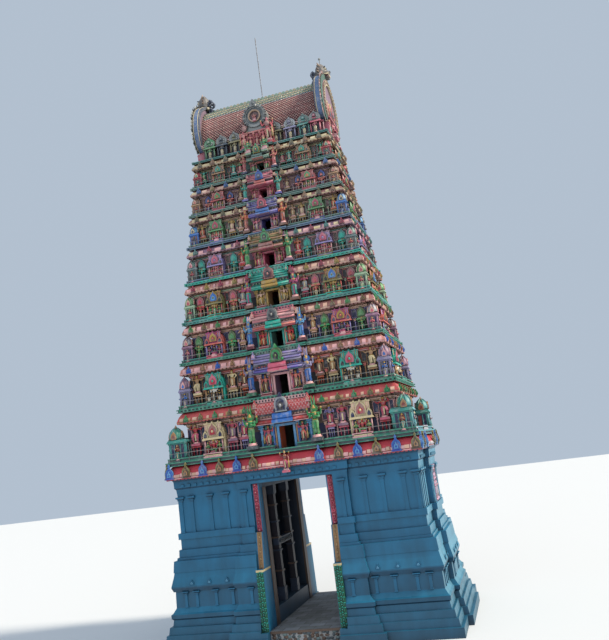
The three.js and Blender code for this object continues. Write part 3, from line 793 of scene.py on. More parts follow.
def oblong():
    """Front of an oblong shrine: width in units, heights as shares of the storey, front plane at y = 0."""
    clay = Clay()
    clay.slab(0.54, 0.14, 0.0, 0.045, "foot")
    clay.slab(0.50, 0.11, 0.045, 0.09, "base")
    for x in (-0.30, 0.0, 0.30):
        clay.block((x - 0.12, -0.025, 0.09), (x + 0.12, 0.0, 0.46), "plate")
    row_of_rods(clay, (-0.46, -0.15, 0.15, 0.46), 0.08, 0.09, 0.46, 0.042, 0.034)
    clay.slab(0.60, 0.20, 0.46, 0.515, "eave", (0.90, 0.7))
    clay.slab(0.47, 0.10, 0.515, 0.56, "base")
    clay.slab(0.45, 0.09, 0.56, 0.86, "roof", (1.0, 0.4), bevel=0.02)
    clay.slab(0.48, 0.06, 0.86, 0.90, "base")
    for x in (-0.40, -0.29, 0.29, 0.40):
        clay.rod((x, -0.09, 0.57), (x, -0.05, 0.87), 0.026, 0.022, "shaft", 4)
    nested(clay, ROUNDED, ((0.54, 0.38, 0.56, 0.15, "base"), (0.44, 0.31, 0.57, 0.18, "arch"),
                           (0.24, 0.17, 0.59, 0.21, "eye")))
    for x in (-0.40, 0.40):
        nested(clay, ROUNDED, ((0.27, 0.22, 0.50, 0.16, "roof"), (0.16, 0.13, 0.52, 0.20, "plate")), x)
    clay.ball((0, -0.20, 0.67), (0.07, 0.05, 0.040), "boss", 6, 4)
    finial = [(0.0, 0.88), (0.06, 0.88), (0.07, 0.91), (0.025, 0.93), (0.0, 0.97)]
    for x in (-0.30, 0.0, 0.30):
        clay.turned(finial, "finial", 6, centre=(x, -0.02, 0))
    return clay.fired()

# %% Small trim
def scallop():
    half = [(0.20, -0.36), (0.42, -0.22), (0.5, 0.0)]
    return Clay().cutout([(-x, z) for x, z in reversed(half)] + half, -0.10, 0.10, "lip").fired()


def roll():
    """Round bar along a face, one unit long and thick."""
    return Clay().rod((-0.5, 0, 0), (0.5, 0, 0), 0.5, 0.5, "roll", 8).fired()


def peg():
    return Clay().block((-0.5, -0.5, 0), (0.5, 0.5, 1), "peg").fired()


def scale_tile(edged):
    """A fish-scale tile hanging down from z = 0, one unit wide and long, plain or with a border."""
    half = [(0.50, 0.12), (0.50, -0.42), (0.34, -0.76), (0.0, -1.0)]
    outline = both_sides(half)
    if not edged:
        return Clay().cutout(outline, -0.12, 0.10, "tile").fired()
    inner = [(x * 0.70, z * 0.74 - 0.02) for x, z in outline]
    return Clay().cutout(outline, -0.10, 0.10, "edge").cutout(inner, -0.17, 0.0, "tile").fired()


def rosette():
    clay = Clay()
    for x, z in disc(0.30, steps=5):
        clay.ball((x, -0.06, z), (0.22, 0.12, 0.22), "petal", 5, 3)
    return clay.ball((0, -0.12, 0), (0.18, 0.12, 0.18), "heart", 5, 3).fired()


def hood():
    """Bright roof over a doorway, one unit wide and high."""
    clay = Clay()
    roof = [(0.10, 1.0), (-0.03, 0.98), (-0.17, 0.84), (-0.25, 0.60), (-0.25, 0.40), (-0.20, 0.30),
            (0.10, 0.30)]
    clay.bar(roof, -0.5, 0.5, "hood")
    clay.bar([(0.10, 0.30), (-0.20, 0.30), (-0.27, 0.22), (-0.29, 0.0), (0.10, 0.0)], -0.54, 0.54, "hood")
    return clay.bar([(0.10, 0.0), (-0.26, 0.0), (-0.24, -0.08), (0.10, -0.08)], -0.52, 0.52, "lip").fired()


kudu_model, flame_model, panel_model, foliage_model = kudu(), flame(), panel(), foliage()
body_model, dome_model, bay_model, perch_model = shrine_body(), dome(), bay(), perch()
oblong_model = oblong()
scallop_model, peg_model, column_model, roll_model = scallop(), peg(), column(), roll()
edged_tile, plain_tile, rosette_model, hood_model = scale_tile(True), scale_tile(False), rosette(), hood()
for name, model in {"kudu": kudu_model, "flame": flame_model, "shrine body": body_model, "dome": dome_model,
                    "bay": bay_model, "oblong shrine": oblong_model, "column": column_model}.items():
    print(name, len(model["triangles"]), "triangles")

# %% Rows
def spread(half, spacing):
    """Even steps from -half to half, about one spacing apart, clear of both ends."""
    count = max(1, round(2 * half / spacing))
    return [(step + 0.5) * 2 * half / count - half for step in range(count)]


def step_along(path, spacing):
    """Points (out, up) at even spacing along a path, each with its direction."""
    points = [Vector(point) for point in path]
    lengths = [(b - a).length for a, b in zip(points, points[1:])]
    count = max(1, round(sum(lengths) / spacing))
    for step in range(count):
        walk = (step + 0.5) * sum(lengths) / count
        for start, end, length in zip(points, points[1:], lengths):
            if walk <= length:
                yield start + (end - start) * walk / length, (end - start) / length
                break
            walk -= length


def lie_on(face, along, point, slope, scale):
    """Place on a leaning surface of a face: point and slope are (out, up)."""
    lean = Matrix(((1, 0, 0, along), (0, slope[1], -slope[0], -point[0]), (0, slope[0], slope[1], point[1]),
                   (0, 0, 0, 1)))
    return Matrix.Rotation(math.radians(face), 4, "Z") @ lean @ Matrix.Diagonal((*scale, 1))


def tile_rows(copies, model, face, path, half, wide, tall, paints_of, overlap=1.45):
    """Rows of scales from the foot of a path to its top, each row shifted by half a tile."""
    size = wide * 0.98, wide * 0.5, tall * overlap
    for row, (point, slope) in enumerate(step_along(path, tall)):
        shift = wide / 2 * (row % 2)
        for x in spread(half, wide):
            if abs(x + shift) < half:
                where = lie_on(face, x + shift, point + slope * tall * 0.75, slope, size)
                copies.place(model, where, paints_of(row), 0.12)


def stretch(copies, face, one_end, other_end, out, z, tall, deep, paint):
    """A straight band on a face, between two places along it."""
    middle, length = (one_end + other_end) / 2, abs(other_end - one_end)
    copies.put(peg_model, face, middle, out, z, (length, deep, tall), paint)

# %% [markdown]
# ## Where the masonry is
#
# Nothing is measured by hand here: every storey's floor, wall line and cornice is read from the boxes of
# the CAD nodes, with the few set-backs that the masonry was built with.

# %% Storeys
WALL_SET_BACK = 0.50
BAY, CENTRE_STEP = 0.30, 0.20
CENTRE_SHARE, PORCH_SHARE, FLANK_SHARE = (0.30, 0.010), (0.235, 0.0125), (0.285, 0.010)
SIDE_SHRINE, SIDE_SHRINE_OUT = 0.26, 0.36
EAVE_DROP, SHOULDER_DROP, PORCH_ROOF_DROP = 0.36, 0.20, 0.19
SHRINE_AT, SHRINE_WIDTH, SHRINE_OUT = 0.64, 0.16, 0.42
KERB_BACK = 0.22


def narrowing(share, level):
    """A share of the half width that is smaller at each level going up."""
    return share[0] - share[1] * level


def cornice_of(low, high, foot, reach, level):
    height = high.z - foot
    return SimpleNamespace(foot=foot, top=high.z, x=high.x, y=high.y - reach, roll=0.75 * height,
                           slab=0.25 * height, centre=narrowing(CENTRE_SHARE, level) * high.x)


low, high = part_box("main_cornice")
main = cornice_of(low, high, low.z, 0.20, 0)
storeys = []
below = main
for number in range(1, 9):
    floor_z, foot_z = (corner.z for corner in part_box(f"tier_{number}_left_walls"))
    above = cornice_of(*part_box(f"tier_{number}_cornice"), foot_z, 0.32, number)
    zone = foot_z - floor_z
    storeys.append(SimpleNamespace(
        number=number, z=floor_z, h=zone, below=below, above=above, wall_x=above.x - WALL_SET_BACK,
        wall_y=above.y - WALL_SET_BACK, centre=narrowing(PORCH_SHARE, number - 1) * above.x,
        flank=narrowing(FLANK_SHARE, number - 1) * above.x, door=0.19 * zone, door_top=0.62 * zone,
        wall=0.72 - 0.035 * (number - 1), ledge=below.y - 0.12 - (above.y - WALL_SET_BACK)))
    below = above
for s in storeys:
    print("storey", s.number, "floor", round(s.z, 2), "walls", round(s.h, 2), "half", round(s.wall_x, 2))

# %% [markdown]
# ## Colours of the storeys
#
# Each storey has its own set of paints, read from the photograph and written down as names. A figure takes
# two: its skin and its garment.

# %% Storey paints
# One line for each part, one column for each storey from the lowest up. A line without a part's name
# holds the second paints of the part above it.
# Some rows carry painted light: plate is the pale strokes on the rolls, partly painted highlights; panel
# also darkens the lower walls as painted shade; under, dark on most storeys, is painted shade between the
# rails.
STOREY_TABLE = """
wall     umber    rust     mauve    mauve    mauve    moss     old_rose sage
panel    navy     shadow   navy     black    umber    maroon   maroon   shadow
pilaster blush    tan      lavender salmon   blush    mint     blush    salmon
foot     slate    bottle   maroon   brown    mauve    brown    violet   ink
rail     jade     jade     sea      aqua     mist     foam     foam     sea
dentil   jade     jade     sea      aqua     none     none     none     none
under    slate    slate    slate    slate    dusk     sage     sage     bottle
frieze   peach    salmon   peach    mint     sage     peach    mauve    olive
roll     madder   shell    old_rose shell    mauve    old_rose old_rose tan
plate    peach    blush    blush    blush    cream    cream    cream    cream
lip      tan      blush    peach    peach    blush    cream    peach    cream
flame    green    blue     green    rose     sea      olive    blue     olive
         bottle   royal    moss     maroon   slate    umber    navy     umber
flame_2  olive    tan      olive    gold     rose     tan      tan      tan
         umber    brown    maroon   olive    maroon   brown    olive    brown
corner   sea      heather  mauve    mint     pewter   blue     tan      crimson
dome     jade     mauve    silver   leaf     sage     sky      brown    crimson
heart    rust     blue     pink     rose     rose     navy     salmon   teal
shrine   cream    aqua     salmon   olive    lavender leaf     madder   tan
base     cream    teal     magenta  gold     mauve    leaf     salmon   olive
emblem   old_rose pink     gold     blue     pink     rose     green    teal
         crimson  crimson  brown    sky      magenta  brown    gold     green
idol     crimson  white    navy     gold     pink     salmon   green    teal
         leaf     black    magenta  green    rose     pink     gold     leaf
bay      mauve    brown    moss     old_rose sea      green    royal    teal
         rose     tan      leaf     pink     aqua     moss     navy     aqua
shaft    rose     tan      moss     cream    teal     cream    rose     teal
figure   rose     cream    green    salmon   teal     gold     salmon   aqua
         mauve    tan      moss     cream    green    peach    rose     teal
other    crimson  tan      leaf     red      aqua     gold     salmon   aqua
         pink     cream    green    salmon   teal     orange   violet   green
small    lavender orange   peach    pink     orange   peach    brown    green
         rose     brown    tan      silver   red      tan      tan      rose
flank    green    heather  sky      magenta  green    orange   aqua     salmon
         leaf     blue     blue     teal     leaf     rust     teal     crimson
guardian rose     salmon   red      peach    brown    pink     rose     rose
         salmon   brown    orange   gold     rose     mauve    pink     green
leaves   teal     blue     salmon   moss     olive    rose     rose     green
         sky      slate    red      gold     brown    maroon   salmon   moss
porch    brick    heather  coral    aqua     olive    violet   coral    sage
         blush    lavender blush    teal     tan      heather  pink     mint
eave     brick    violet   salmon   aqua     old_rose violet   pink     sage
comb     blush    sage     pink     aqua     olive    violet   rose     mint
nasi     navy     green    slate    maroon   green    pink     royal    green
         silver   moss     grey     old_rose moss     rose     blue     gold
hood     blue     pink     aqua     gold     old_rose blue     salmon   sage
frame    sky      blush    teal     gold     rose     mauve    rose     salmon
reveal   orange   mauve    sage     tan      rose     violet   rose     sage
"""


def storey_paints():
    table = {}
    for line in STOREY_TABLE.strip().split("\n"):
        words = line.split()
        if line.startswith(" "):
            table[part] = list(zip(table[part], words))
        else:
            part = words[0]
            table[part] = words[1:]
    columns = range(len(storeys))
    return [SimpleNamespace(**{part: row[column] for part, row in table.items()}) for column in columns]


STOREY_PAINTS = storey_paints()
MAIN_PAINTS = SimpleNamespace(roll="main_red", plate="peach", lip="blush", rail="jade",
                              under="slate", dentil="none", flame=("blue", "royal", "sky"),
                              flame_2=("olive", "umber", "tan"))

# %% Paint the walls and cornices of the masonry
FAR = 99


def paint_walls(s, p):
    half = SHRINE_WIDTH / 2
    shrine = (SHRINE_AT - half) * s.above.x - 0.01, (SHRINE_AT + half) * s.above.x + 0.01
    outside_y = s.wall_y + 0.005, FAR
    walls = plaster(f"storey_{s.number}_walls", p.wall, [
        # From just above its foot to half its height the wall takes the dark panel paint, as painted shade
        # between the figures.
        (p.panel, {"Z": (s.z + 0.08 * s.h, s.z + 0.50 * s.h)}),
        ("stone", {"X": (-1, s.wall_x - s.wall + 0.01), "Y": (-1, s.wall_y - s.wall + 0.01)}),
        (p.frame, {"X": (s.door, s.centre + 0.01), "Y": outside_y}),
        (p.reveal, {"X": (-1, s.door + 0.01), "Y": (s.wall_y - s.wall - 0.01, FAR)}),
        (p.shrine, {"X": shrine, "Y": outside_y}),
        (p.shrine, {"X": (s.wall_x + 0.005, FAR), "Y": (-1, SIDE_SHRINE * s.above.y + 0.01)}),
        (p.corner, {"X": (s.wall_x - 0.061, FAR), "Y": (s.wall_y - 0.061, FAR)}),
    ])
    cover(f"tier_{s.number}_left_walls", walls)
    cover(f"tier_{s.number}_right_walls", walls)


def paint_cornice(s, p):
    foot, roll_top, bay = s.above.foot, s.above.foot + s.above.roll, s.wall_y + BAY - 0.01
    porch = {"X": (-1, s.centre + 0.061), "Y": (bay, FAR)}
    eave_top = foot - PORCH_ROOF_DROP * s.h
    cover(f"tier_{s.number}_cornice", plaster(f"storey_{s.number}_cornice", p.roll, [
        (p.porch[1], {**porch, "Z": (eave_top, roll_top - 0.005)}),
        (p.eave, {**porch, "Z": (0, eave_top)}),
        (p.reveal, {"X": (-1, s.door + 0.01), "Y": (-1, bay), "Z": (0, foot - 0.005)}),
        # The slab takes the under paint, dark on most storeys as painted shade between the rails.
        (p.under, {"Z": (roll_top + 0.002, FAR)}),
    ]))


for s, p in zip(storeys, STOREY_PAINTS):
    paint_walls(s, p)
    paint_cornice(s, p)
# The main slab is slate, painted shade between its rails.
main_slab = MAIN_PAINTS.under, {"Z": (main.foot + main.roll + 0.002, FAR)}
cover("main_cornice", plaster("main_cornice_paint", "main_red", [main_slab]))

# %% [markdown]
# ## Dressing one storey
#
# The long faces follow one rhythm from the middle outwards: doorway with guardians under a porch, a figure
# on the porch's flank, a figure before a dark panel, an oblong shrine, another figure and the corner
# shrine. The short sides have one wide shrine between figures. Thin bands run over the figures, a kerb
# runs along the ledge, and every eave carries arches. The helpers take a face, so that one rhythm serves
# front and back.

# %% Cornice trim
# Bands on the slab of a cornice, as shares of its height: foot, height, and depth in metres
DEEP_RAILS, THIN_RAILS = ((0.0, 0.20, 0.06), (0.70, 0.30, 0.12)), ((0.0, 0.34, 0.08), (0.56, 0.44, 0.13))


def stroke_sizes(cornice):
    """Strokes on a roll: foot and top as shares of it, spacing, least share of a length and the length."""
    if cornice is main:
        return 0.13, 0.38, 0.27, 0.5, 0.31
    if cornice.roll > 0.55:
        return 0.12, 0.44, 0.44, 0.3, 0.40
    return (0.08, 0.56, 0.44, 0.3, 0.40) if cornice.roll > 0.5 else (0.08, 0.56, 0.62, 0.3, 0.60)


def highlight_dash(roll_height, low, high):
    """Raised pale stroke low on the roll of a cornice, one unit long: partly painted dashes, partly a
    painted highlight of the glossy roll.
    """
    outer = [(-0.025, low * roll_height), (-0.035, 0.24 * roll_height), (0.03, high * roll_height)]
    return Clay().bar(outer + [(y + 0.08, z) for y, z in reversed(outer)], -0.5, 0.5, "plate").fired()


def reach_of(face, level):
    """Half the length of a face, and how far it is from the middle."""
    return (level.x, level.y) if face in LONG else (level.y, level.x)


def step_out(face, cornice, x):
    """How far a cornice stands out at a place along a face: more in the middle of the long ones."""
    return CENTRE_STEP if face in LONG and abs(x) < cornice.centre else 0.0


def edge_lines(copies, face, cornice, p, gap):
    """Lip under the roll and twin rails on the slab. The lip is open where a porch roof stands before it."""
    half, out = reach_of(face, cornice)
    middle_stops = (-cornice.centre, cornice.centre, -gap, gap) if face in LONG else ()
    stops = sorted({-half, half, *middle_stops})
    for low, high in zip(stops, stops[1:]):
        edge = out + step_out(face, cornice, (low + high) / 2)
        if abs(low + high) / 2 >= gap or not gap:
            stretch(copies, face, low, high, edge, cornice.foot, 0.055, 0.06, p.lip)
        for share, tall, deep in DEEP_RAILS if cornice.slab > 0.19 else THIN_RAILS:
            z = cornice.foot + cornice.roll + share * cornice.slab
            stretch(copies, face, low, high, edge - 0.12, z, tall * cornice.slab, deep, p.rail)


def highlight_strokes(copies, face, cornice, p, gap):
    """Pale dashes on a storey's roll, or one uneven pale band on the main cornice: partly painted dashes,
    partly a painted highlight of the glossy roll.
    """
    half, out = reach_of(face, cornice)
    low, high, pitch, least, most = stroke_sizes(cornice)
    stroke = highlight_dash(cornice.roll, low, high)
    for index, x in enumerate(spread(half - 0.1, pitch)):
        if abs(x) > gap:
            size = dice.uniform(least, 1.0) * most, 1, dice.uniform(0.9, 1.1)
            edge = out + step_out(face, cornice, x)
            copies.put(stroke, face, x, edge, cornice.foot, size, (p.plate, p.lip)[index % 2], 0.12)


def trim_cornice(copies, cornice, p, porch=0.0, spots=None, arch_size=(0.30, 0.9, 0.42)):
    """Lines, strokes, dentils, scallops and arches along a cornice, on all four faces."""
    foot, roll_top, slab = cornice.foot, cornice.foot + cornice.roll, cornice.slab
    for face in (FRONT, RIGHT, BACK, LEFT):
        half, out = reach_of(face, cornice)
        gap = porch if face in LONG else 0.0
        edge_lines(copies, face, cornice, p, gap)
        highlight_strokes(copies, face, cornice, p, gap)
        if p.dentil != "none":
            size = 0.12, 0.08, 0.46 * slab
            for x in spread(half - 0.1, 0.26):
                edge = out - 0.11 + step_out(face, cornice, x)
                copies.put(peg_model, face, x, edge, roll_top + 0.22 * slab, size, p.rail)
        for x in spread(half, 0.24):
            if abs(x) > gap:
                edge = out - 0.01 + step_out(face, cornice, x)
                copies.put(scallop_model, face, x, edge, foot + 0.02, 0.235, p.roll)
        for index, x in enumerate(spots(half) if spots else spread(half - 0.15, 0.95)):
            if abs(x) > gap + (0.1 if gap else 0.0):
                rim, ring, *eye = p.flame if index % 2 == (x > 0 and not spots) else p.flame_2
                edge = out - 0.02 + step_out(face, cornice, x)
                copies.put(flame_model, face, x, edge, foot + 0.04 * cornice.roll, arch_size,
                           {"rim": rim, "ring": ring, "eye": eye[0] if eye else rim})

# %% Porch
SCALED = 1


def laid_roll(copies, face, half, point, slope, tall, paint):
    """A round bar along the middle of a face, flattened on the surface it lies on."""
    copies.place(roll_model, lie_on(face, 0, point, slope, (2 * half, 0.13, tall)), paint)


def porch_roof(copies, face, s, p):
    """Scales or smooth rolls over the barrel roof of a porch, and a comb along the top of it with dark pegs
    as painted shade in its piercings.
    """
    foot, roll_height, y, h = s.above.foot, s.above.roll, s.above.y, s.h
    path = [(y + 0.235, foot - 0.12 * h), (y + 0.245, foot + 0.2 * roll_height),
            (y + 0.14, foot + 0.6 * roll_height), (y - 0.01, foot + 0.88 * roll_height)]
    half = s.centre + 0.05
    if s.number == SCALED:
        paints = {"edge": p.porch[1], "tile": p.porch[0]}
        tile_rows(copies, edged_tile, face, path, half, 0.20, 0.22 * roll_height, lambda row: paints)
    else:
        for index, (point, slope) in enumerate(step_along(path, 0.33 * roll_height)):
            laid_roll(copies, face, half, point, slope, 0.30 * roll_height, p.porch[index % 2])
    stretch(copies, face, -half - 0.03, half + 0.03, y + 0.24, foot - 0.15 * h, 0.05 * h, 0.10, "shadow")
    comb = foot + 0.76 * roll_height
    stretch(copies, face, -half, half, y + 0.08, comb, 0.30 * roll_height, 0.10, p.comb)
    # Dark pegs stand for the comb's piercings: painted shade.
    for x in spread(half - 0.03, 0.19):
        size = 0.10, 0.10, 0.17 * roll_height
        copies.put(peg_model, face, x, y + 0.09, comb + 0.06 * roll_height, size, "shadow")


def porch_eave(copies, face, s, p):
    """Rolled eave over the doorway, with a thinner pale roll on it as a painted highlight streak, and pegs
    under it.
    """
    foot, h, y = s.above.foot, s.h, s.above.y
    half = s.centre + 0.07
    stretch(copies, face, -half, half, y + 0.32, foot - EAVE_DROP * h - 0.01, 0.035, 0.05, p.comb)
    slope = Vector((-0.20, 0.11 * h)).normalized()
    point = Vector((y + 0.33, foot - 0.31 * h))
    laid_roll(copies, face, half, point + slope * 0.02 * h, slope, 0.09 * h, p.eave)
    # A thinner roll in the porch's second paint is a painted highlight along the eave.
    laid_roll(copies, face, half - 0.02, point + slope * 0.11 * h, slope, 0.06 * h, p.porch[1])
    for x in spread(half - 0.05, 0.19):
        shoulder = foot - (SHOULDER_DROP - 0.015) * h
        copies.put(peg_model, face, x, y + 0.17, shoulder, (0.09, 0.10, 0.045 * h), p.frieze)


def door_frame(copies, face, s, p):
    bay, h, z, edge = s.wall_y + BAY, s.h, s.z, 0.06 * s.h
    paints = {"foot": p.frame, "shaft": p.hood, "capital": p.frame}
    for side in (-1, 1):
        for place, wide, paint in ((0.5, 1.0, p.frame), (1.6, 0.6, p.lip)):
            x = side * (s.door + place * edge)
            copies.put(peg_model, face, x, bay + 0.03, z, (wide * edge, 0.10, s.door_top), paint)
        x = side * (s.door + 2.5 * edge)
        copies.put(column_model, face, x, bay + 0.10, z, (0.50 * h, 0.6 * h, 0.64 * h), paints)
    half = s.door + 2 * edge
    stretch(copies, face, -half, half, bay + 0.04, z + s.door_top - edge, edge, 0.16, p.frame)


def gablet(copies, face, s, p):
    """Bright hood over the doorway, and the arches that crown the porch."""
    front, h, size = s.above.y + 0.30, s.h, 0.35 * s.h
    copies.put(hood_model, face, 0, front - 0.08, s.z + 0.66 * h, (2 * s.door + 0.14 * h, 1.0, 0.26 * h),
               {"hood": p.hood, "lip": p.frame})
    rim, ring = p.nasi
    copies.put(kudu_model, face, 0, front + 0.02, s.above.foot - 0.09 * h, (size, 1.0, 1.15 * size),
               {"rim": ring, "ring": rim, "eye": "shadow", "boss": ring, "leaf": rim, "curl": rim})
    for x in (-s.centre - 0.02, s.centre + 0.02):
        copies.put(flame_model, face, x, front - 0.06, s.above.foot + 0.30 * s.above.roll,
                   (size * 0.34, 0.9, size * 0.62), {"rim": p.porch[0], "ring": p.porch[1], "eye": p.lip})


def pedestal(copies, face, x, out, z, wide, tall, paint, line):
    """Block with a line of another paint, as under every large figure."""
    for share, grow, colour in ((0.0, 1.0, paint), (0.40, 0.86, line), (0.62, 1.0, paint)):
        copies.put(peg_model, face, x, out, z + share * tall, (grow * wide, 0.24, 0.38 * tall), colour)


def stand(copies, name, face, x, out, z, tall, paints, base_paint, mirrored=False, slim=1.0):
    """A figure on a small block."""
    side, size = (-1 if mirrored else 1) * slim, 0.92 * tall
    copies.put(peg_model, face, x, out, z, (0.34 * tall * slim, 0.24 * tall, 0.10 * tall), base_paint)
    copies.put(figures[name], face, x, out, z + 0.10 * tall, (side * size, size, size), paints)


def roof_keepers(copies, face, s):
    """Two seated figures on the porch of the highest storey."""
    paints = dress("green", "leaf", halo="green", sash="green")
    for side in (-1, 1):
        x, out = side * 0.80 * s.centre, s.above.y + 0.34
        stand(copies, "seated", face, x, out, s.above.foot - 0.12, 1.10, paints, "mint")


def dress_porch(copies, face, s, p):
    bay, h, z = s.wall_y + BAY, s.h, s.z
    if s is storeys[-1]:
        roof_keepers(copies, face, s)
    door_frame(copies, face, s, p)
    porch_eave(copies, face, s, p)
    porch_roof(copies, face, s, p)
    gablet(copies, face, s, p)
    paints = dress(*p.guardian, halo=p.frieze, base=p.foot)
    for side in (-1, 1):
        x = side * 0.66 * s.centre
        copies.put(foliage_model, face, x, bay + 0.05, z + 0.03 * h, (0.40 * h, 0.8, 0.60 * h),
                   {"leaf": p.leaves[0], "stem": p.leaves[1]})
        pedestal(copies, face, x, bay + 0.20, z, 0.34 * h, 0.10 * h, "blush", "crimson")
        size = side * 0.54 * h, 0.52 * h, 0.52 * h
        copies.put(figures["guardian"], face, x, bay + 0.20, z + 0.10 * h, size, paints)
        x = side * (s.centre - 0.05 * h)
        copies.put(column_model, face, x, bay + 0.08, z, (0.80 * h, 0.80 * h, 0.63 * h),
                   {"foot": p.foot, "shaft": p.frame, "capital": p.frame})

# %% Bands and kerbs
def entablature(copies, face, low, high, wall, s, p):
    """Thin bands under the cornice, each standing out further than the one below."""
    for share, tall, out, paint in ((0.86, 0.03, 0.08, p.lip), (0.895, 0.04, 0.14, p.frieze),
                                    (0.945, 0.055, 0.30, "brown")):
        for side in (-1, 1):
            z = s.z + share * s.h
            stretch(copies, face, side * low, side * high, wall + out / 2, z, tall * s.h, out, paint)


def kerb(copies, s, p):
    """Low moulded kerb along the edge of the ledge, open before the doorways."""
    tall = 0.10 * s.h
    # The kerb's middle band takes the under paint, dark on most storeys as painted shade between the rails.
    bands = (0.0, 0.30, 0.15, p.rail), (0.30, 0.36, 0.08, p.under), (0.66, 0.34, 0.17, p.rail)
    for face in (FRONT, RIGHT, BACK, LEFT):
        half, out = reach_of(face, s.below)
        low = s.door + 0.25 if face in LONG else 0.0
        for side in (-1, 1):
            for share, high, deep, paint in bands:
                stretch(copies, face, side * low, side * (half - 0.14), out - KERB_BACK, s.z + share * tall,
                        high * tall, deep, paint)

# %% Long faces
# Where the pieces stand on half a long face, as shares of the storey's half width, and how wide they are
BAY_AT = {
    "small": (0.388, 0.368, 0.370, 0.350, 0.340, 0.340, 0.322, 0.310),
    "figure": (0.498, 0.490, 0.487, 0.464, 0.446, 0.455, 0.472, 0.410),
    "other": (0.852, 0.852, 0.852, 0.852, 0.852, 0.852, 0.780, 0.860),
}
BAY_WIDE = {"small": 0.050, "figure": 0.078, "other": 0.080}
# Storeys where the piece is a statue on a pierced pedestal; elsewhere it is a narrow shrine
STATUES = {"small": (1, 2, 3, 4, 5, 6, 7, 8), "figure": (1, 2, 6, 8), "other": (1, 2, 6, 8)}
OBLONG_AT, OBLONG_WIDE = (0.665, 0.665, 0.665, 0.665, 0.652, 0.647, 0.617, 0.610), 0.175
SEATED_IDOLS = 1, 3, 6
SQUARE_WIDE = 0.046
FLANK_OUT = 0.20


def squares_of(s):
    """Middles of the dark recesses: between the flank, the bays, the oblong shrine and the corner."""
    small, figure, other = (BAY_AT[part][s.number - 1] for part in ("small", "figure", "other"))
    shrine, reach = OBLONG_AT[s.number - 1], OBLONG_WIDE / 2
    return (s.flank / s.above.x + 0.056, (small + figure) / 2 - 0.006, (figure + 0.04 + shrine - reach) / 2,
            (shrine + reach + other - 0.04) / 2, other + 0.060)


def place_bay(copies, face, x, wall, wide, s, p, paints, name="attendant"):
    """Narrow shrine with its figure. The figure wears the paints given, the shrine those of the storey."""
    rim, ring = p.bay
    copies.put(bay_model, face, x, wall + 0.02, s.z, (wide, 1, s.h),
               {"foot": p.foot, "plate": p.panel, "shaft": p.shaft, "eave": paints[0], "dome": rim,
                "ring": ring, "eye": paints[0]})
    stand(copies, name, face, x, wall + 0.24, s.z, 0.52 * s.h, dress(*paints, halo=p.frieze), "cream", x < 0)


def place_statue(copies, face, x, wall, wide, s, p, paints, name):
    """Figure on a pierced pedestal, before a dark recess that reaches up to the cornice."""
    top = s.z + 0.36 * s.h
    copies.put(panel_model, face, x, wall + 0.01, top, (1.25 * wide, 1, 0.48 * s.h),
               {"plate": p.panel, "frame": p.pilaster})
    copies.put(perch_model, face, x, wall + 0.02, s.z, (wide, 1, s.h),
               {"foot": p.foot, "plate": p.panel, "shaft": paints[0], "eave": paints[0]})
    stand(copies, name, face, x, wall + 0.17, top, 0.56 * s.h, dress(*paints, halo=p.frieze), paints[1],
          x < 0, slim=1.35)


def place_square(copies, face, x, wall, wide, s, p):
    """Dark recess under the cornice, and a slender column below it."""
    copies.put(panel_model, face, x, wall + 0.01, s.z + 0.55 * s.h, (wide, 1, 0.29 * s.h),
               {"plate": p.panel, "frame": p.pilaster})
    copies.put(column_model, face, x, wall + 0.08, s.z, (0.42 * s.h, 0.42 * s.h, 0.52 * s.h),
               {"foot": p.foot, "shaft": p.pilaster, "capital": p.frieze})


def place_oblong(copies, face, x, out, wide, tall, s, p):
    copies.put(oblong_model, face, x, out, s.z, (wide, 1, tall),
               {"foot": p.comb, "base": p.base, "plate": p.panel, "shaft": p.pilaster, "eave": p.shrine,
                "roof": p.shrine, "arch": p.emblem[0], "eye": p.emblem[1], "boss": p.shrine,
                "finial": p.base})


def oblong_group(copies, face, side, s, p):
    """Oblong shrine with an idol between two bearers, and the pedestal on the ledge before it."""
    middle, wide = side * OBLONG_AT[s.number - 1] * s.above.x, OBLONG_WIDE * s.above.x
    front = s.wall_y + SHRINE_OUT
    place_oblong(copies, face, middle, front, wide, s.h, s, p)
    out = front + max(0.04, min(0.14, s.ledge - SHRINE_OUT - 0.08))
    idol = "seated" if s.number in SEATED_IDOLS else "crowned"
    stand(copies, idol, face, middle, out, s.z, 0.55 * s.h, dress(*p.idol, halo=p.base), p.comb, side < 0)
    paints = dress(*p.idol[::-1])
    for x in (-0.31, 0.31):
        stand(copies, "bearer", face, middle + x * wide, out, s.z, 0.40 * s.h, paints, p.base, x < 0)
    pedestal(copies, face, middle, s.below.y - KERB_BACK, s.z, wide, 0.12 * s.h, p.comb, p.shrine)


def dress_long_face(copies, face, s, p):
    wall, h, z, wide = s.wall_y, s.h, s.z, s.above.x
    out = s.below.y - KERB_BACK + FLANK_OUT
    flank_paints = dress(*p.flank, halo=p.flank[1], sash=p.flank[0])
    entablature(copies, face, s.centre, s.wall_x, wall, s, p)
    for side in (-1, 1):
        stretch(copies, face, side * s.centre, side * s.wall_x, wall + 0.03, z, 0.10 * h, 0.12, p.foot)
        for part, name in (("small", "bearer"), ("figure", "attendant"), ("other", "dancer")):
            x = side * BAY_AT[part][s.number - 1] * wide
            make = place_statue if s.number in STATUES[part] else place_bay
            make(copies, face, x, wall, BAY_WIDE[part] * wide, s, p, getattr(p, part), name)
        for share in squares_of(s):
            place_square(copies, face, side * share * wide, wall, SQUARE_WIDE * wide, s, p)
        oblong_group(copies, face, side, s, p)
        x = side * s.flank
        copies.put(foliage_model, face, x, out - 0.04, z + 0.10 * h, (0.20 * h, 0.9, 1.06 * h),
                   {"leaf": p.flank[0], "stem": p.flank[1]})
        stand(copies, "crowned", face, x, out, z + 0.06 * h, 0.88 * h, flank_paints, p.foot, side < 0, 0.95)

# %% Short sides and corners
SIDE_BAYS, SIDE_SQUARES = ((0.425, "figure"), (0.70, "other")), (0.33, 0.56, 0.82)


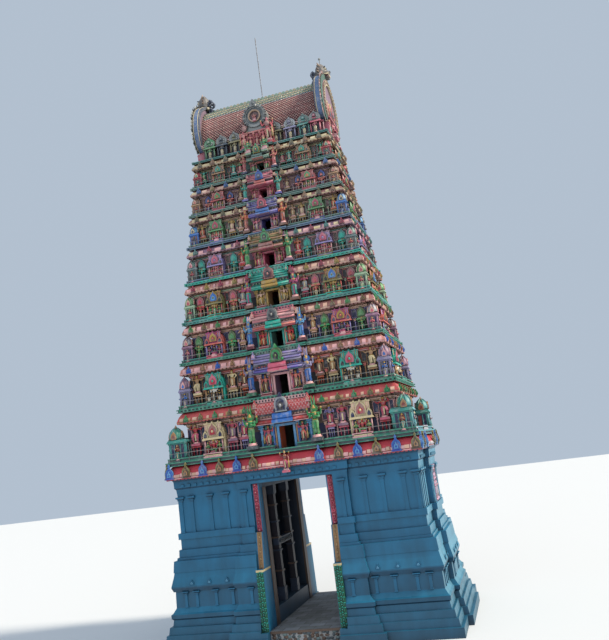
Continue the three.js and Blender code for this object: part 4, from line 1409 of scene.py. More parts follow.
def dress_short_face(copies, face, s, p):
    wall, h, z, wide = s.wall_x, s.h, s.z, s.above.y
    edge, front = SIDE_SHRINE * wide, wall + SIDE_SHRINE_OUT
    entablature(copies, face, edge, s.wall_y, wall, s, p)
    place_oblong(copies, face, 0, front, 2 * edge, 1.04 * h, s, p)
    paints = dress(*p.idol, halo=p.base)
    stand(copies, "seated", face, 0, front + 0.10, z + 0.02 * h, 0.60 * h, paints, p.foot)
    pedestal(copies, face, 0, s.below.x - KERB_BACK, z, 2 * edge, 0.12 * h, p.comb, p.shrine)
    for side in (-1, 1):
        stretch(copies, face, side * edge, side * s.wall_y, wall + 0.03, z, 0.10 * h, 0.12, p.foot)
        x = side * 0.17 * wide
        stand(copies, "bearer", face, x, front + 0.09, z, 0.44 * h, dress(*p.figure), p.foot, side < 0)
        for share, part in SIDE_BAYS:
            place_bay(copies, face, side * share * wide, wall, 0.12 * wide, s, p, getattr(p, part))
        for share in SIDE_SQUARES:
            place_square(copies, face, side * share * wide, wall, 0.07 * wide, s, p)


def dress_corners(copies, s, p):
    """Shrine with its dome on each corner, and a figure before each of its two open sides."""
    far_x, far_y = s.below.x - 0.25, s.below.y - 0.25
    near_x, near_y = s.wall_x - 0.06, s.wall_y - 0.06
    size = min(far_x - near_x, far_y - near_y)
    for x in (-1, 1):
        for y in (-1, 1):
            where = at(x * (near_x + far_x) / 2, y * (near_y + far_y) / 2, s.z,
                       scale=(far_x - near_x, far_y - near_y, s.h))
            copies.place(body_model, where, {"foot": p.foot, "frame": p.corner, "shaft": p.corner,
                                             "plate": p.panel, "middle": p.heart, "eave": p.corner})
            middle = x * (far_x - size / 2), y * (far_y - size / 2)
            where = at(*middle, s.z + 0.60 * s.h, scale=(size, size, s.h))
            copies.place(dome_model, where, {"dome": p.dome, "rib": p.corner, "arch": p.lip, "eye": p.heart,
                                             "finial": p.lip})
    for faces, along, out in ((LONG, (near_x + far_x) / 2, far_y), (SHORT, (near_y + far_y) / 2, far_x)):
        for face in faces:
            for side in (-1, 1):
                stand(copies, "bearer", face, side * along, out + 0.05, s.z, 0.44 * s.h,
                      dress(p.heart, p.corner), p.foot, side < 0)


def railing(copies, s):
    """Pipe rail at knee height along the edge of the ledge."""
    clay = Clay()
    near, far = s.flank + 0.30, s.below.x - 0.30
    out, height = s.below.y - 0.10, s.z + 0.22 * s.h
    for side in (-1, 1):
        clay.rod((side * near, -out, height), (side * far, -out, height), 0.018, 0.018, "rail", 5)
        for step in range(5):
            x = side * (near + (far - near) * step / 4)
            clay.rod((x, -out, s.z), (x, -out, height), 0.014, 0.014, "rail", 5)
    model = clay.fired()
    for face in LONG:
        copies.put(model, face, 0, 0, 0, 1, "grey")

# %% Dress all the storeys
for s, p in zip(storeys, STOREY_PAINTS):
    sculpture = Copies(f"storey_{s.number}_sculpture", f"tier_{s.number}_paint")
    for face in LONG:
        dress_porch(sculpture, face, s, p)
        dress_long_face(sculpture, face, s, p)
    for face in SHORT:
        dress_short_face(sculpture, face, s, p)
    dress_corners(sculpture, s, p)
    kerb(sculpture, s, p)
    railing(sculpture, s)
    sculpture.finish()
    trim = Copies(f"storey_{s.number}_eaves", f"tier_{s.number}_cornice_paint")
    trim_cornice(trim, s.above, p, s.centre + 0.06)
    trim.finish()

# %% Dress the main cornice
FIRST_SPOT, SPOT_STEP = 2.0, 1.10


def main_spots(half):
    """Places of the large arches on the main cornice: evenly apart, but none close to the middle."""
    count = int((half - 0.2 - FIRST_SPOT) / SPOT_STEP) + 1
    row = [FIRST_SPOT + SPOT_STEP * index for index in range(count)]
    return [-x for x in reversed(row)] + row


main_trim = Copies("main_eaves", "cornice_red")
trim_cornice(main_trim, main, MAIN_PAINTS, 0.0, main_spots, (0.52, 0.9, 0.90))
for face in LONG:
    stand(main_trim, "guardian", face, 0, main.y + 0.34, main.foot - 0.38, 1.20,
          dress("rust", "pink", halo="brown"), "pink")
main_trim.finish()
print("added so far", total_triangles, "triangles")

# %% [markdown]
# ## The blue base
#
# The ground storey is plain by comparison: moulded courses in one blue, slender posts that end in a
# bracket under the lintel and under the lower cornice, and a niche with figures on each side. The courses
# are in the masonry already, so the blue needs only its streaks and dirt, and painted light: painted shade
# inside the passage, the side chambers and towards the foot, lighter upward and darker downward faces, and
# paler sunlit short sides. The posts have one shape in two heights, and they step forward with the bays
# beside the passage.

# %% Base paint
PASSAGE = -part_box("front_left_jamb")[1].x
GATE_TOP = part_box("left_gate_wall")[1].z
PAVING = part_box("passage_floor")[1].z
CHAMBER_X, CHAMBER_Y = PASSAGE + 2.32, 3.10
# The middle of the passage and the side chambers are painted dark blue, as painted shade.
base_zones = [
    ("deep_blue", {"X": (-1, PASSAGE + 0.2), "Y": (-1, CHAMBER_Y + 0.4)}),
    ("dusk", {"X": (PASSAGE + 0.01, CHAMBER_X + 0.01), "Y": (-1, CHAMBER_Y + 0.01),
              "Z": (1.70, GATE_TOP + 0.02)}),
]
# Lighter tops and darker undersides, a darker foot and paler sunlit short sides: painted light and shade.
base_paint = plaster("base_blue_paint", "base_blue", base_zones, reach=0.8, slope=1.25, damp=0.6,
                     bleach=0.58)
for node in ("left_plinth", "right_plinth", "left_gate_wall", "right_gate_wall", "gate_lintel"):
    cover(node, base_paint)

# %% Wall posts
# Wall planes as height range, distance of the long walls and of the side walls from the axis, and bay steps
UPPER_WALL = SimpleNamespace(low=6.456, high=8.571, long=3.96, side=7.354)
LOWER_WALL = SimpleNamespace(low=2.325, high=3.23, long=4.43, side=7.824)
FRONT_BAY_STEP, SIDE_BAY_STEP = 0.25, 0.30
FRONT_POSTS, SIDE_POSTS = (4.20, 5.24, 6.45, 7.15), (2.35, 3.05, 3.72)
BAY_POSTS, SIDE_BAY_POSTS = (2.95,), (0.95, 1.35)


def wall_post(tall, wide):
    """Flat post with a cushion and a spreading bracket, against a wall at y = 0."""
    clay = Clay()
    cap = 0.16 + 0.12 * tall
    ring, cushion, plate, bracket, top = (tall - share * cap for share in (1, 0.80, 0.52, 0.42, 0.22))
    for half, front, low, high, *spreads in (
            (0.60, 0.06, 0, 0.10), (0.50, 0.045, 0.10, ring), (0.56, 0.06, ring, cushion),
            (0.44, 0.05, cushion, plate, (1.6, 1.5)), (0.85, 0.11, plate, bracket),
            (0.55, 0.08, bracket, top, (2.1, 1.7)), (1.25, 0.16, top, tall)):
        clay.slab(half * wide, front, low, high, "post", *spreads)
    return clay.fired()


def posts_round(copies, wall, wide):
    """Posts on all four faces. Those on a bay stand forward with it."""
    model = wall_post(wall.high - wall.low, wide)
    long_face = LONG, wall.long, FRONT_BAY_STEP, FRONT_POSTS, BAY_POSTS
    short_face = SHORT, wall.side, SIDE_BAY_STEP, SIDE_POSTS, SIDE_BAY_POSTS
    for side in (-1, 1):
        for faces, line, step, places, bay_places in (long_face, short_face):
            for face in faces:
                for x in places + bay_places:
                    out = line + (step if x in bay_places else 0.0)
                    copies.put(model, face, side * x, out, wall.low, 1, "base_blue", 0.03)


base_posts = Copies("base_wall_posts", "blue_paint")
posts_round(base_posts, UPPER_WALL, 0.20)
posts_round(base_posts, LOWER_WALL, 0.17)

# %% Small reliefs in the bands
# Height of each band, and how far its face is from the wall line
RELIEF_Z, RELIEF_OUT, DENTIL_Z, DENTIL_OUT = 3.58, 0.665, 9.14, 0.205
# Half the length of the bands, their wall line, the step of the bay, and where the bay ends
LONG_BANDS, SHORT_BANDS = (7.2, 3.90, FRONT_BAY_STEP, 3.2), (3.8, 7.294, SIDE_BAY_STEP, 1.5)


def band_reliefs(copies, face):
    """Small arches in the lower band and blocks in the upper one, which step forward with the bay."""
    half, line, step, bay_end = LONG_BANDS if face in LONG else SHORT_BANDS
    for x in spread(half, 1.15):
        if face in SHORT or abs(x) >= PASSAGE + 0.6:
            out = line + RELIEF_OUT + (step if abs(x) < bay_end else 0.0)
            copies.put(flame_model, face, x, out, RELIEF_Z, (0.26, 0.35, 0.30),
                       {"rim": "base_blue", "ring": "base_blue", "eye": "base_light"}, 0.04)
    for x in spread(half - 0.1, 0.42):
        if abs(abs(x) - bay_end) > 0.2:
            out = line + DENTIL_OUT + (step if abs(x) < bay_end else 0.0)
            copies.put(peg_model, face, x, out, DENTIL_Z, (0.20, 0.10, 0.16), "base_blue", 0.03)


for face in LONG + SHORT:
    band_reliefs(base_posts, face)

# %% Niches on the sides
def side_niche(copies, face):
    """Tall niche on the bay of a side, with a crimson figure and two bearers in low relief."""
    out, low, tall = UPPER_WALL.side + SIDE_BAY_STEP, UPPER_WALL.low, UPPER_WALL.high - UPPER_WALL.low
    copies.put(panel_model, face, 0, out, low, (1.30, 0.8, tall), {"plate": "navy", "frame": "rose"})
    for x, name, share, paints in ((0, "crowned", 0.92, ("rose", "crimson")),
                                   (-0.42, "bearer", 0.62, ("pink", "magenta")),
                                   (0.42, "bearer", 0.62, ("pink", "magenta"))):
        copies.put(figures[name], face, x, out + 0.03, low + 0.06, (share * tall, 0.30 * tall, share * tall),
                   dress(*paints, gold="pink", halo="pink", base="rose"))


for face in SHORT:
    side_niche(base_posts, face)
# The posts get the same painted light as the blue: lighter tops, darker undersides, paler sunlit sides.
base_posts.finish(plaster("post_paints", slope=1.25, bleach=0.58))

# %% [markdown]
# ## The carved jambs and the passage
#
# Each end of the passage stands between two carved jambs: a green vine below, gold brown figures in the
# middle and pink rosettes above, with a pale ledge between them. The paint changes with height in the
# material, and the carving is real relief. Inside, columns stand before the dark side chambers, and the
# floor is worn paving whose front edge is rough rubble.

# %% Jamb paint and relief
LEDGE, LEDGE_TOP, FIGURES_TOP, JAMB_FOOT, JAMB_TOP = 4.0, 4.12, 6.11, 0.81, 8.86
# Each zone of carving: foot and top, each with how far out the leaning jamb is there, and the spacing
CARVING = {
    "vine": ((JAMB_FOOT, 4.95), (LEDGE, 4.86), 0.26),
    "figures": ((LEDGE_TOP, 4.52), (FIGURES_TOP, 4.26), 0.34),
    "rosettes": ((FIGURES_TOP, 4.08), (JAMB_TOP, 4.06), 0.20),
}
STRIP = PASSAGE + 0.07, PASSAGE + 0.37
jamb_paint = plaster("carved_jamb", "base_blue", [
    ("bottle", {"X": (PASSAGE + 0.01, FAR), "Z": (0, LEDGE)}),
    ("cream", {"X": (PASSAGE - 0.1, FAR), "Z": (LEDGE, LEDGE_TOP)}),
    ("jamb_gold", {"X": STRIP, "Z": (LEDGE_TOP, FIGURES_TOP)}),
    ("jamb_pink", {"X": STRIP, "Z": (FIGURES_TOP, FAR)}),
])
for node in ("front_left_jamb", "front_right_jamb", "back_left_jamb", "back_right_jamb"):
    cover(node, jamb_paint)


def vine():
    """One turn of a vine: a curl of stem with two leaves and a bud."""
    clay = Clay()
    turns = [math.pi * step / 4 for step in range(-1, 6)]
    stem = [(0.34 * math.cos(turn), -0.06, 0.34 * math.sin(turn)) for turn in turns]
    limb(clay, stem, (0.07,) * len(stem), "stem")
    for x, z in ((0.42, 0.30), (-0.42, 0.22), (0.05, 0.45)):
        clay.ball((x, -0.07, z), (0.17, 0.10, 0.11), "leaf", 6, 4)
    return clay.ball((0, -0.08, 0), (0.15, 0.11, 0.15), "bud", 6, 4).fired()


vine_model = vine()
vine_paints = {"stem": "jade", "leaf": "teal", "bud": "sea"}
rosette_paints = {"petal": "rose", "heart": "blush"}, {"petal": "pink", "heart": "crimson"}
relief_paints = dress("tan", "jamb_gold", gold="olive", base="brown")
carving = Copies("jamb_carving", "jamb_paint")


def carve(face, along):
    """Relief up the outer face of a jamb."""
    for kind, ((low, out_low), (high, out_high), spacing) in CARVING.items():
        count = int((high - low) / spacing)
        for index in range(count):
            z = low + (index + 0.5) * (high - low) / count
            out = out_low + (out_high - out_low) * (z - low) / (high - low)
            flip = 1 if index % 2 else -1
            if kind == "vine":
                carving.put(vine_model, face, along, out, z, (flip * 0.36, 0.6, 0.30), vine_paints, 0.2)
            elif kind == "rosettes":
                paints = rosette_paints[index % 2]
                carving.put(rosette_model, face, along, out, z, (0.28, 0.5, 0.20), paints, 0.2)
            else:
                size = 0.34 * flip, 0.26, 0.34
                carving.put(figures["bearer"], face, along, out + 0.02, z - 0.17, size, relief_paints, 0.2)


for face in LONG:
    for side in (-1, 1):
        carve(face, side * (PASSAGE + 0.22))
carving.finish(plain_paints)

# %% Chamber columns and passage
COLUMN_RINGS = 2.0, 2.42, 3.4, 4.6, 5.35, 6.3, 7.3, 8.0
column_zones = [("shadow", {"Z": (2.42, 4.95)}), ("shadow", {"Z": (5.35, 8.07)})]
column_paint = plaster("chamber_columns", "dusk", column_zones)
for node in ("left_chamber_columns", "right_chamber_columns"):
    cover(node, column_paint)
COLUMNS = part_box("left_chamber_columns")[1].y
fittings = Copies("passage_fittings", "column_paint")
for side in (-1, 1):
    for end in (-1, 1):
        where = at(side * (PASSAGE + 0.02), end * (CHAMBER_Y + 0.23), PAVING,
                   scale=(0.14, 0.50, GATE_TOP - PAVING))
        fittings.place(peg_model, where, "umber")
        for z in COLUMN_RINGS:
            where = at(side * (PASSAGE + 0.28), end * (COLUMNS - 0.25), z, scale=(0.48, 0.48, 0.09))
            fittings.place(peg_model, where, ("dusk", "umber")[int(z) % 2])
    for y in spread(COLUMNS - 0.3, 0.32):
        fittings.put(rosette_model, RIGHT if side < 0 else LEFT, y, -PASSAGE - 0.10, 5.15, (0.26, 0.5, 0.26),
                     {"petal": "slate", "heart": "umber"})
fittings.finish(plain_paints)

# %% Paving and rubble
def paving():
    material, tree, surface = shader("worn_paving", 0.85)
    place = place_of(tree)
    slabs = add(tree, "TexBrick", {
        "Vector": place, "Color1": linear("silver"), "Color2": linear("grey"), "Mortar": linear("umber"),
        "Scale": 1.0, "Brick Width": 0.9, "Row Height": 0.6, "Mortar Size": 0.012})
    weathered(tree, surface, slabs.outputs["Color"], place, 14, 0.5, slope=0.0)
    return material


cover("passage_floor", paving())
rubble = Copies("passage_rubble", "paving_stone")
stone = Clay().ball((0, 0, 0), (0.5, 0.5, 0.5), "stone", 6, 4).fired()
FLOOR_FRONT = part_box("passage_floor")[1].y
for face in LONG:
    stretch(rubble, face, -PASSAGE, PASSAGE, FLOOR_FRONT + 0.01, PAVING - 0.13, 0.12, 0.10, "umber")
    for row in range(4):
        for x in spread(PASSAGE - 0.12, 0.27):
            size = dice.uniform(0.22, 0.40), dice.uniform(0.14, 0.24), dice.uniform(0.12, 0.26)
            x += dice.uniform(-0.08, 0.08)
            where = on_face(face, x, FLOOR_FRONT - 0.03, 0.15 + 0.16 * row, size, dice.uniform(-20, 20))
            rubble.place(stone, where, dice.choice(["umber", "slate", "umber", "pewter", "slate"]), 0.3)
rubble.finish(plain_paints)

# %% [markdown]
# ## The wagon roof
#
# The roof is a barrel covered with fish-scale tiles, closed at each end by a horseshoe gable with a lion
# mask on its crown, and a dormer looks out over the middle of each long side. The tiles are laid in rows
# up the curve, each row shifted by half a tile, which is how the lattice in the photograph comes about.

# %% Roof paint
neck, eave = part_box("roof_neck"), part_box("roof_vault")
ROOF_FLOOR, EAVES, SPRING = neck[0].z, neck[1].z, neck[1].z + 0.20
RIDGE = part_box("lightning_rod")[0].z - 0.09
ROOF_HALF, EAVE_OUT, VAULT_OUT = eave[1].x, eave[1].y, eave[1].y - 0.10
NASI_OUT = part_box("back_nasi")[1].y
HEAD_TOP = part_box("left_gable")[1].z
gable_paint = plaster("gable_masonry", "mauve", [
    ("rose", {"Z": (0, EAVES + 0.30)}), ("grey", {"Z": (HEAD_TOP + 0.01, FAR)}),
    ("umber", {"Z": (HEAD_TOP - 1.3, HEAD_TOP), "Y": (-1, 0.6)}),
])
nasi_paint = plaster("nasi_masonry", "grey", [("crimson", {"Z": (0, EAVES)})])
cover("roof_neck", plaster("neck_maroon", "maroon"))
cover("roof_vault", plaster("roof_under_tiles", "peach", [("blush", {"Z": (0, SPRING - 0.005)})]))
for node, material in (("left_gable", gable_paint), ("right_gable", gable_paint), ("front_nasi", nasi_paint),
                       ("back_nasi", nasi_paint)):
    cover(node, material)


def metal(name, paint_name):
    material, tree, surface = shader(name, 0.45)
    surface.inputs["Metallic"].default_value = 0.8
    stops = [(0.35, linear("umber")), (0.6, linear(paint_name))]
    stain = ramp(tree, noise_on(tree, place_of(tree), 9, 5), stops)
    tree.links.new(stain, surface.inputs["Base Color"])
    return material


cover("lightning_rod", metal("galvanised_rod", "silver"))

# %% Tiles
def vault_path(steps=24):
    """Half of the barrel's curve, from the spring to the ridge, as (out, up)."""
    quarter = [math.pi / 2 * step / steps for step in range(steps + 1)]
    return [(VAULT_OUT * math.cos(a) + 0.005, SPRING + (RIDGE - SPRING) * math.sin(a)) for a in quarter]


STUD, STUD_ROW, TOP_ROWS = 0.205, 0.104, 17
TOP_PAINTS = "mint", "silver", "sage", "cream"
TILE_PAINTS = "tile_red", "shell", "tile_red", "roof_red"
stud = Clay().ball((0, 0, -0.5), (0.5, 0.22, 0.5), "tile", 4, 2).fired()
stud_rows = list(step_along(vault_path(), STUD_ROW))
roof_tiles = Copies("roof_tiles_rows", "roof_tiles")


def roof_row(row):
    return (TOP_PAINTS if row >= len(stud_rows) - TOP_ROWS else TILE_PAINTS)[row % 4]


for face in LONG:
    tile_rows(roof_tiles, stud, face, vault_path(), ROOF_HALF - 0.02, STUD, STUD_ROW, roof_row, 1.95)
    for share, paint in ((0.66, "cream"), (0.77, "mint"), (0.88, "cream")):
        point, slope = stud_rows[int(share * len(stud_rows))]
        where = lie_on(face, 0, point, slope, (2 * ROOF_HALF - 0.04, 0.07, 0.035))
        roof_tiles.place(peg_model, where, paint)
for x in spread(ROOF_HALF - 0.1, 0.26):
    where = at(x, 0, RIDGE + 0.13, scale=(0.25, 0.9, -0.16))
    roof_tiles.place(plain_tile, where, ("mint", "cream")[int(x * 4) % 2])
roof_tiles.finish()

# %% Eaves and neck
# Small shrines under the eaves: place along the face, paint of the top, paint of the body
NECK_SHRINES = ((-3.50, "green", "leaf"), (-2.62, "grey", "dusk"), (-1.68, "grey", "olive"),
                (1.22, "grey", "olive"), (2.22, "silver", "heather"), (3.18, "sage", "sea"),
                (3.92, "grey", "rose"))
NECK_TALL = EAVES - ROOF_FLOOR
neck_row = Copies("roof_neck_figures", "neck_paint")


def neck_shrine(face, x, top, paint):
    neck_row.put(bay_model, face, x, EAVE_OUT - 0.02, ROOF_FLOOR, (0.72, 1.3, 1.80),
                 {"foot": "rose", "plate": "navy", "shaft": paint, "eave": paint, "dome": top,
                  "ring": "grey", "eye": paint})
    neck_row.put(kudu_model, face, x, EAVE_OUT + 0.18, EAVES + 0.08, (0.42, 0.6, 0.34),
                 {"rim": top, "ring": "shadow", "eye": paint, "boss": "silver", "leaf": top,
                  "curl": "silver"})
    stand(neck_row, "attendant", face, x, EAVE_OUT + 0.20, ROOF_FLOOR, 0.86 * NECK_TALL,
          dress(paint, "cream", halo="rose"), paint)
    for side in (-1, 1):
        neck_row.put(column_model, face, x + side * 0.46, neck[1].y + 0.10, ROOF_FLOOR,
                     (0.7, 0.7, 0.94 * NECK_TALL), {"foot": "rose", "shaft": "blush", "capital": paint})


for face in LONG:
    stretch(neck_row, face, -ROOF_HALF, ROOF_HALF, EAVE_OUT + 0.01, EAVES + 0.02, 0.05, 0.06, "cream")
    stretch(neck_row, face, -ROOF_HALF, ROOF_HALF, EAVE_OUT + 0.02, EAVES + 0.12, 0.06, 0.08, "blush")
    for x, top, paint in NECK_SHRINES:
        neck_shrine(face, x, top, paint)
    for x in spread(ROOF_HALF - 0.1, 0.30):
        neck_row.put(peg_model, face, x, neck[1].y + 0.05, EAVES - 0.09, (0.12, 0.30, 0.08), "rose")
neck_row.finish()

# %% Dormers
NASI_MIDDLE = 32.35
# Figures before the dormer's pavilion: place along the face, kind, height, paint
DORMER_FIGURES = ((0.80, "guardian", 1.80, "red"), (-0.90, "guardian", 1.25, "salmon"),
                  (0.0, "crowned", 0.90, "brick"), (0.45, "attendant", 1.15, "brick"),
                  (-0.45, "bearer", 0.95, "salmon"))
dormers = Copies("roof_dormers", "nasi_paint")


def ring_of(clay, inner, outer, front, part, steps):
    """Flat ring in the plane of a face, made of short blocks round a circle."""
    for step in range(steps):
        a, b = math.tau * step / steps, math.tau * (step + 1) / steps
        corners = (inner, a), (outer, a), (outer, b), (inner, b)
        clay.cutout([(r * math.cos(turn), r * math.sin(turn)) for r, turn in corners], -front, 0.0, part)


def dormer():
    """Arched window two metres across: rings round a dark eye, petals, two wings and a leaf on top."""
    clay = Clay()
    ring_of(clay, 0.60, 0.78, 0.10, "ring", 18)
    ring_of(clay, 0.44, 0.60, 0.05, "leaf", 16)
    ring_of(clay, 0.34, 0.44, 0.15, "inner", 14)
    clay.cutout(disc(0.36, steps=14), -0.03, 0.0, "eye")
    for petal in range(21):
        turn = math.radians(-42 + 264 * petal / 20)
        middle = Vector((0.66 * math.cos(turn), -0.10, 0.66 * math.sin(turn)))
        tip = middle.x * 1.26, -0.08, middle.z * 1.26
        clay.rod(middle, tip, 0.11, 0.06, ("leaf", "ring")[petal % 2], 5)
    wing = [(0.0, 0.0), (0.14, 0.04), (0.20, 0.20), (0.12, 0.38), (0.0, 0.42)]
    for side in (-1, 1):
        clay.turned(wing, "wing", 7, centre=(side * 0.80, -0.12, -0.98), squash=0.7)
        clay.rod((side * 0.62, -0.10, -0.72), (side * 0.94, -0.10, -0.40), 0.10, 0.05, "wing", 6)
    crest = [(0.16, 0.70), (0.26, 0.90), (0.14, 1.02), (0.08, 1.12), (0.0, 1.20)]
    clay.cutout(both_sides(crest), -0.16, 0.0, "ring")
    return clay.ball((0, -0.15, 0.88), (0.12, 0.08, 0.12), "leaf", 6, 4).fired()


dormer_model = dormer()
for face in LONG:
    dormers.put(dormer_model, face, 0, NASI_OUT, NASI_MIDDLE, 1,
                {"ring": "grey", "inner": "tan", "eye": "maroon", "leaf": "slate", "wing": "old_rose"})
    stand(dormers, "seated", face, 0, NASI_OUT + 0.12, NASI_MIDDLE - 0.42, 0.66,
          dress("salmon", "rose"), "rose")
    for x, name, tall, paint in DORMER_FIGURES:
        stand(dormers, name, face, x, NASI_OUT + 0.10, ROOF_FLOOR, tall,
              dress(paint, "salmon", gold="rose", halo="red"), "red", x < 0)
    for x in (-1.12, -0.68, -0.22, 0.22, 0.68, 1.12):
        dormers.put(column_model, face, x, NASI_OUT + 0.02, ROOF_FLOOR, (0.9, 0.9, NECK_TALL),
                    {"foot": "crimson", "shaft": "brick", "capital": "salmon"})
    stretch(dormers, face, -1.15, 1.15, NASI_OUT + 0.03, EAVES - 0.02, 0.10, 0.16, "salmon")
    stretch(dormers, face, -1.25, 1.25, NASI_OUT + 0.05, ROOF_FLOOR, 0.12, 0.16, "brick")
dormers.finish()

# %% [markdown]
# ## Gables and lion masks
#
# Each gable is a thick horseshoe. Its edge is painted in bands of green, blue and cream, flame leaves
# stand along it, and its outer face holds a ring, a niche and a seated figure. The lion mask on the crown
# is plainly nobody's: a ball skull with round eyes, a snout with fangs, a mane of leaves and curled
# tongues of dark blue.

# %% Bands along the gable's edge
GABLE_IN = ROOF_HALF
# Right half of the horseshoe above the eaves, as (y, z)
GABLE_EDGE = [(1.50, 0.0), (1.88, 0.30), (2.08, 0.90), (2.11, 1.50), (1.95, 2.30), (1.58, 2.95),
              (1.06, 3.42), (0.45, 3.757)]
# Bands from the roof's end outwards: from where to where, how far they grow inwards and outwards, part
EDGE_BANDS = ((-0.06, 0.02, -0.15, 0.05, "inner"), (0.02, 0.06, -0.05, 0.075, "line"),
              (0.06, 0.35, -0.05, 0.055, "band"), (0.35, 0.40, -0.05, 0.08, "line"),
              (0.40, 0.50, -0.30, 0.06, "green"), (0.44, 0.53, -0.62, -0.30, "ring"),
              (0.44, 0.56, -0.72, -0.62, "line"))


def gable_path(growth, steps=4):
    """The horseshoe's outline grown outwards, smoothed, as (y, z), from the front foot over the crown."""
    half = [Vector(point) for point in GABLE_EDGE]
    smooth = []
    for before, start, end, after in zip(half[:1] + half, half, half[1:], half[2:] + half[-1:]):
        for step in range(steps):
            t = step / steps
            smooth.append(0.5 * (2 * start + (end - before) * t
                                 + (2 * before - 5 * start + 4 * end - after) * t * t
                                 + (3 * start - before - 3 * end + after) * t ** 3))
    smooth.append(half[-1])
    grown = []
    for point, last, following in zip(smooth, smooth[:1] + smooth, smooth[1:] + smooth[-1:]):
        run = following - last
        grown.append(point + Vector((run.y, -run.x)).normalized() * growth)
    return [(-y, EAVES + z) for y, z in grown] + [(y, EAVES + z) for y, z in reversed(grown)]


def gable_edge():
    """Bands of the right-hand gable; its left-hand twin is a mirrored copy."""
    clay = Clay()
    for near, far, inner, outer, part in EDGE_BANDS:
        clay.bar(gable_path(outer) + gable_path(inner)[::-1], GABLE_IN + near, GABLE_IN + far, part)
    return clay.fired()


def gable_crest(copies, side, paints):
    """Flame leaves along the edge, and beads along the ring of the outer face."""
    for index, (point, slope) in enumerate(step_along(gable_path(0.06), 0.30)):
        cos, sin = slope.normalized()
        where = Matrix(((0, 1, 0, side * (GABLE_IN + 0.44)), (cos, 0, -sin, point.x), (sin, 0, cos, point.y),
                        (0, 0, 0, 1)))
        copies.place(flame_model, where @ Matrix.Diagonal((0.30, 0.34, 0.24, 1)),
                     {"rim": paints[index % len(paints)], "ring": "cream", "eye": "shadow"})
    face = RIGHT if side > 0 else LEFT
    for point, _ in step_along(gable_path(-0.46), 0.24):
        copies.put(rosette_model, face, side * point.x, GABLE_IN + 0.55, point.y, (0.17, 0.3, 0.17),
                   {"petal": "cream", "heart": "rose"})


def gable_shrine(copies, face):
    """Shrine on the outer face of a gable, with a seated figure between two attendants on posts."""
    out = GABLE_IN + 0.45
    copies.put(oblong_model, face, 0, out - 0.02, ROOF_FLOOR, (1.9, 0.9, 3.1),
               {"foot": "rose", "base": "cream", "plate": "navy", "shaft": "salmon", "eave": "pink",
                "roof": "salmon", "arch": "crimson", "eye": "navy", "boss": "pink", "finial": "gold"})
    paints = dress("pink", "crimson", halo="cream")
    stand(copies, "seated", face, 0, out + 0.08, ROOF_FLOOR + 0.2, 1.6, paints, "rose")
    for x in (-1.15, 1.15):
        paints = dress("salmon", "teal", halo="rose")
        stand(copies, "attendant", face, x, out + 0.05, ROOF_FLOOR, 1.2, paints, "rose", x < 0)
        copies.put(peg_model, face, x * 1.15, out - 0.16, ROOF_FLOOR, (0.38, 0.5, 0.95), "rose")


EDGE_PAINTS = {"green": "bottle", "inner": "navy", "line": "cream", "band": "gable_blue", "ring": "old_rose"}
CREST_PAINTS = {-1: ("silver", "white", "black"), 1: ("peach", "silver", "blush")}
gables = Copies("gable_dressing", "gable_paint")
edge_model = gable_edge()
for side in (-1, 1):
    gables.place(edge_model, Matrix.Diagonal((side, 1, 1, 1)), EDGE_PAINTS)
    gable_crest(gables, side, CREST_PAINTS[side])
    gable_shrine(gables, RIGHT if side > 0 else LEFT)

# %% Lion masks
def curl(clay, start, radius, thick, steps=10):
    """A tapering spiral in the plane across the roof, like a curled tongue."""
    points, widths = [], []
    for step in range(steps + 1):
        share = step / steps
        angle = math.pi / 2 + 1.25 * math.tau * share
        shrink = radius * (1 - 0.75 * share)
        points.append(Vector(start) + Vector((shrink * math.cos(angle), 0, shrink * math.sin(angle))))
        widths.append(thick * (1 - 0.6 * share))
    limb(clay, points, widths, "curl", 6)


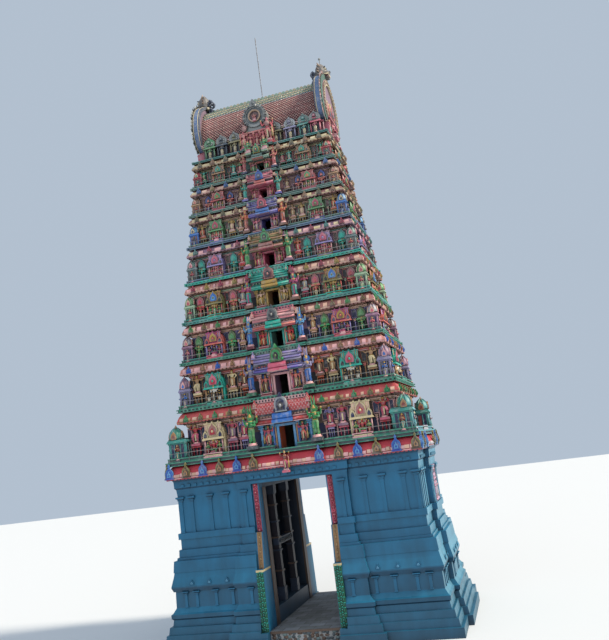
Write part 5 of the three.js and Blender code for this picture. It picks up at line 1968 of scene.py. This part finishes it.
def lion_mask():
    """Looks along +X from the crown of the gable; the curls fall back over the roof on its -X side."""
    clay = Clay()
    clay.ball((0.02, 0, 0.46), (0.40, 0.36, 0.38), "skin", 12, 8)
    clay.ball((0.34, 0, 0.36), (0.20, 0.24, 0.16), "skin", 10, 6)
    clay.ball((0.50, 0, 0.44), (0.07, 0.12, 0.07), "dark", 8, 5)
    clay.block((0.14, -0.20, 0.06), (0.44, 0.20, 0.16), "skin", (0.9, 0.8))
    clay.block((0.16, -0.16, 0.14), (0.46, 0.16, 0.24), "mouth")
    for y in (-0.15, -0.05, 0.05, 0.15):
        clay.rod((0.46, y, 0.26), (0.48, y, 0.10), 0.035, 0.006, "fang", 5)
    for side in (-1, 1):
        clay.ball((0.28, side * 0.17, 0.60), (0.10, 0.10, 0.10), "fang", 8, 6)
        clay.ball((0.36, side * 0.18, 0.60), (0.045, 0.05, 0.05), "dark", 6, 4)
        clay.rod((0.20, side * 0.10, 0.74), (0.34, side * 0.30, 0.72), 0.05, 0.03, "dark", 5)
        clay.rod((0.05, side * 0.28, 0.70), (-0.10, side * 0.40, 1.0), 0.09, 0.02, "horn", 6)
        clay.rod((0.42, side * 0.14, 0.30), (0.20, side * 0.40, 0.20), 0.06, 0.03, "fang", 6)
    for leaf in range(13):
        turn = math.radians(-50 + 280 * leaf / 12)
        root = Vector((-0.04, 0.32 * math.cos(turn), 0.46 + 0.32 * math.sin(turn)))
        tip = Vector((-0.14, 0.56 * math.cos(turn), 0.46 + 0.58 * math.sin(turn)))
        clay.rod(root, tip, 0.11, 0.02, ("mane", "horn", "dark")[leaf % 3], 5)
    for height, radius in ((0.42, 0.20), (-0.10, 0.16)):
        for y in (-0.17, 0.17):
            curl(clay, (-0.42, y, height), radius, 0.085)
    clay.rod((-0.20, 0, 0.40), (-0.45, 0, 0.60), 0.16, 0.10, "curl", 6)
    clay.rod((-0.15, 0, 0.0), (-0.45, 0, 0.08), 0.14, 0.08, "curl", 6)
    return clay.ball((-0.34, -0.34, 0.02), (0.10, 0.10, 0.10), "fang", 8, 6).fired()


mask = lion_mask()
MASK_PAINTS = {"skin": "umber", "dark": "black", "mouth": "crimson", "fang": "cream", "horn": "tan",
               "mane": "brown", "curl": "ink"}
for side in (-1, 1):
    where = at(side * (GABLE_IN + 0.23), 0, HEAD_TOP - 1.18, scale=(1.15 * side, 1.2, 1.15))
    gables.place(mask, where, MASK_PAINTS)
gables.finish()
print("added in all", total_triangles, "triangles")

# %% [markdown]
# ## The studio floor
#
# A plain pale floor catches the light and the shadow without drawing the eye. It is staging and no part of
# the tower, so it is marked as a backdrop. Last, the box of the masonry and the box of the dressed tower
# are gathered side by side. The dressing has to stay inside the masonry's box.

# %% Floor
FLOOR_REACH = 150
floor_slab = Clay().block((-FLOOR_REACH, -FLOOR_REACH, -0.2), (FLOOR_REACH, FLOOR_REACH, 0), "floor")
floor_mesh = bpy.data.meshes.new("studio_floor")
floor_slab.bm.to_mesh(floor_mesh)
studio_floor = bpy.data.objects.new("studio_floor", floor_mesh)
floor_paint, _, floor_surface = shader("pale_floor", 0.9)
floor_surface.inputs["Base Color"].default_value = (0.72, 0.73, 0.74, 1)
floor_mesh.materials.append(floor_paint)
scene.collection.objects.link(studio_floor)
studio_floor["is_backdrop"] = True

# %% Finish
size = {"cad": [list(corner) for corner in cad_box], "visual": [list(corner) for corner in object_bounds()]}
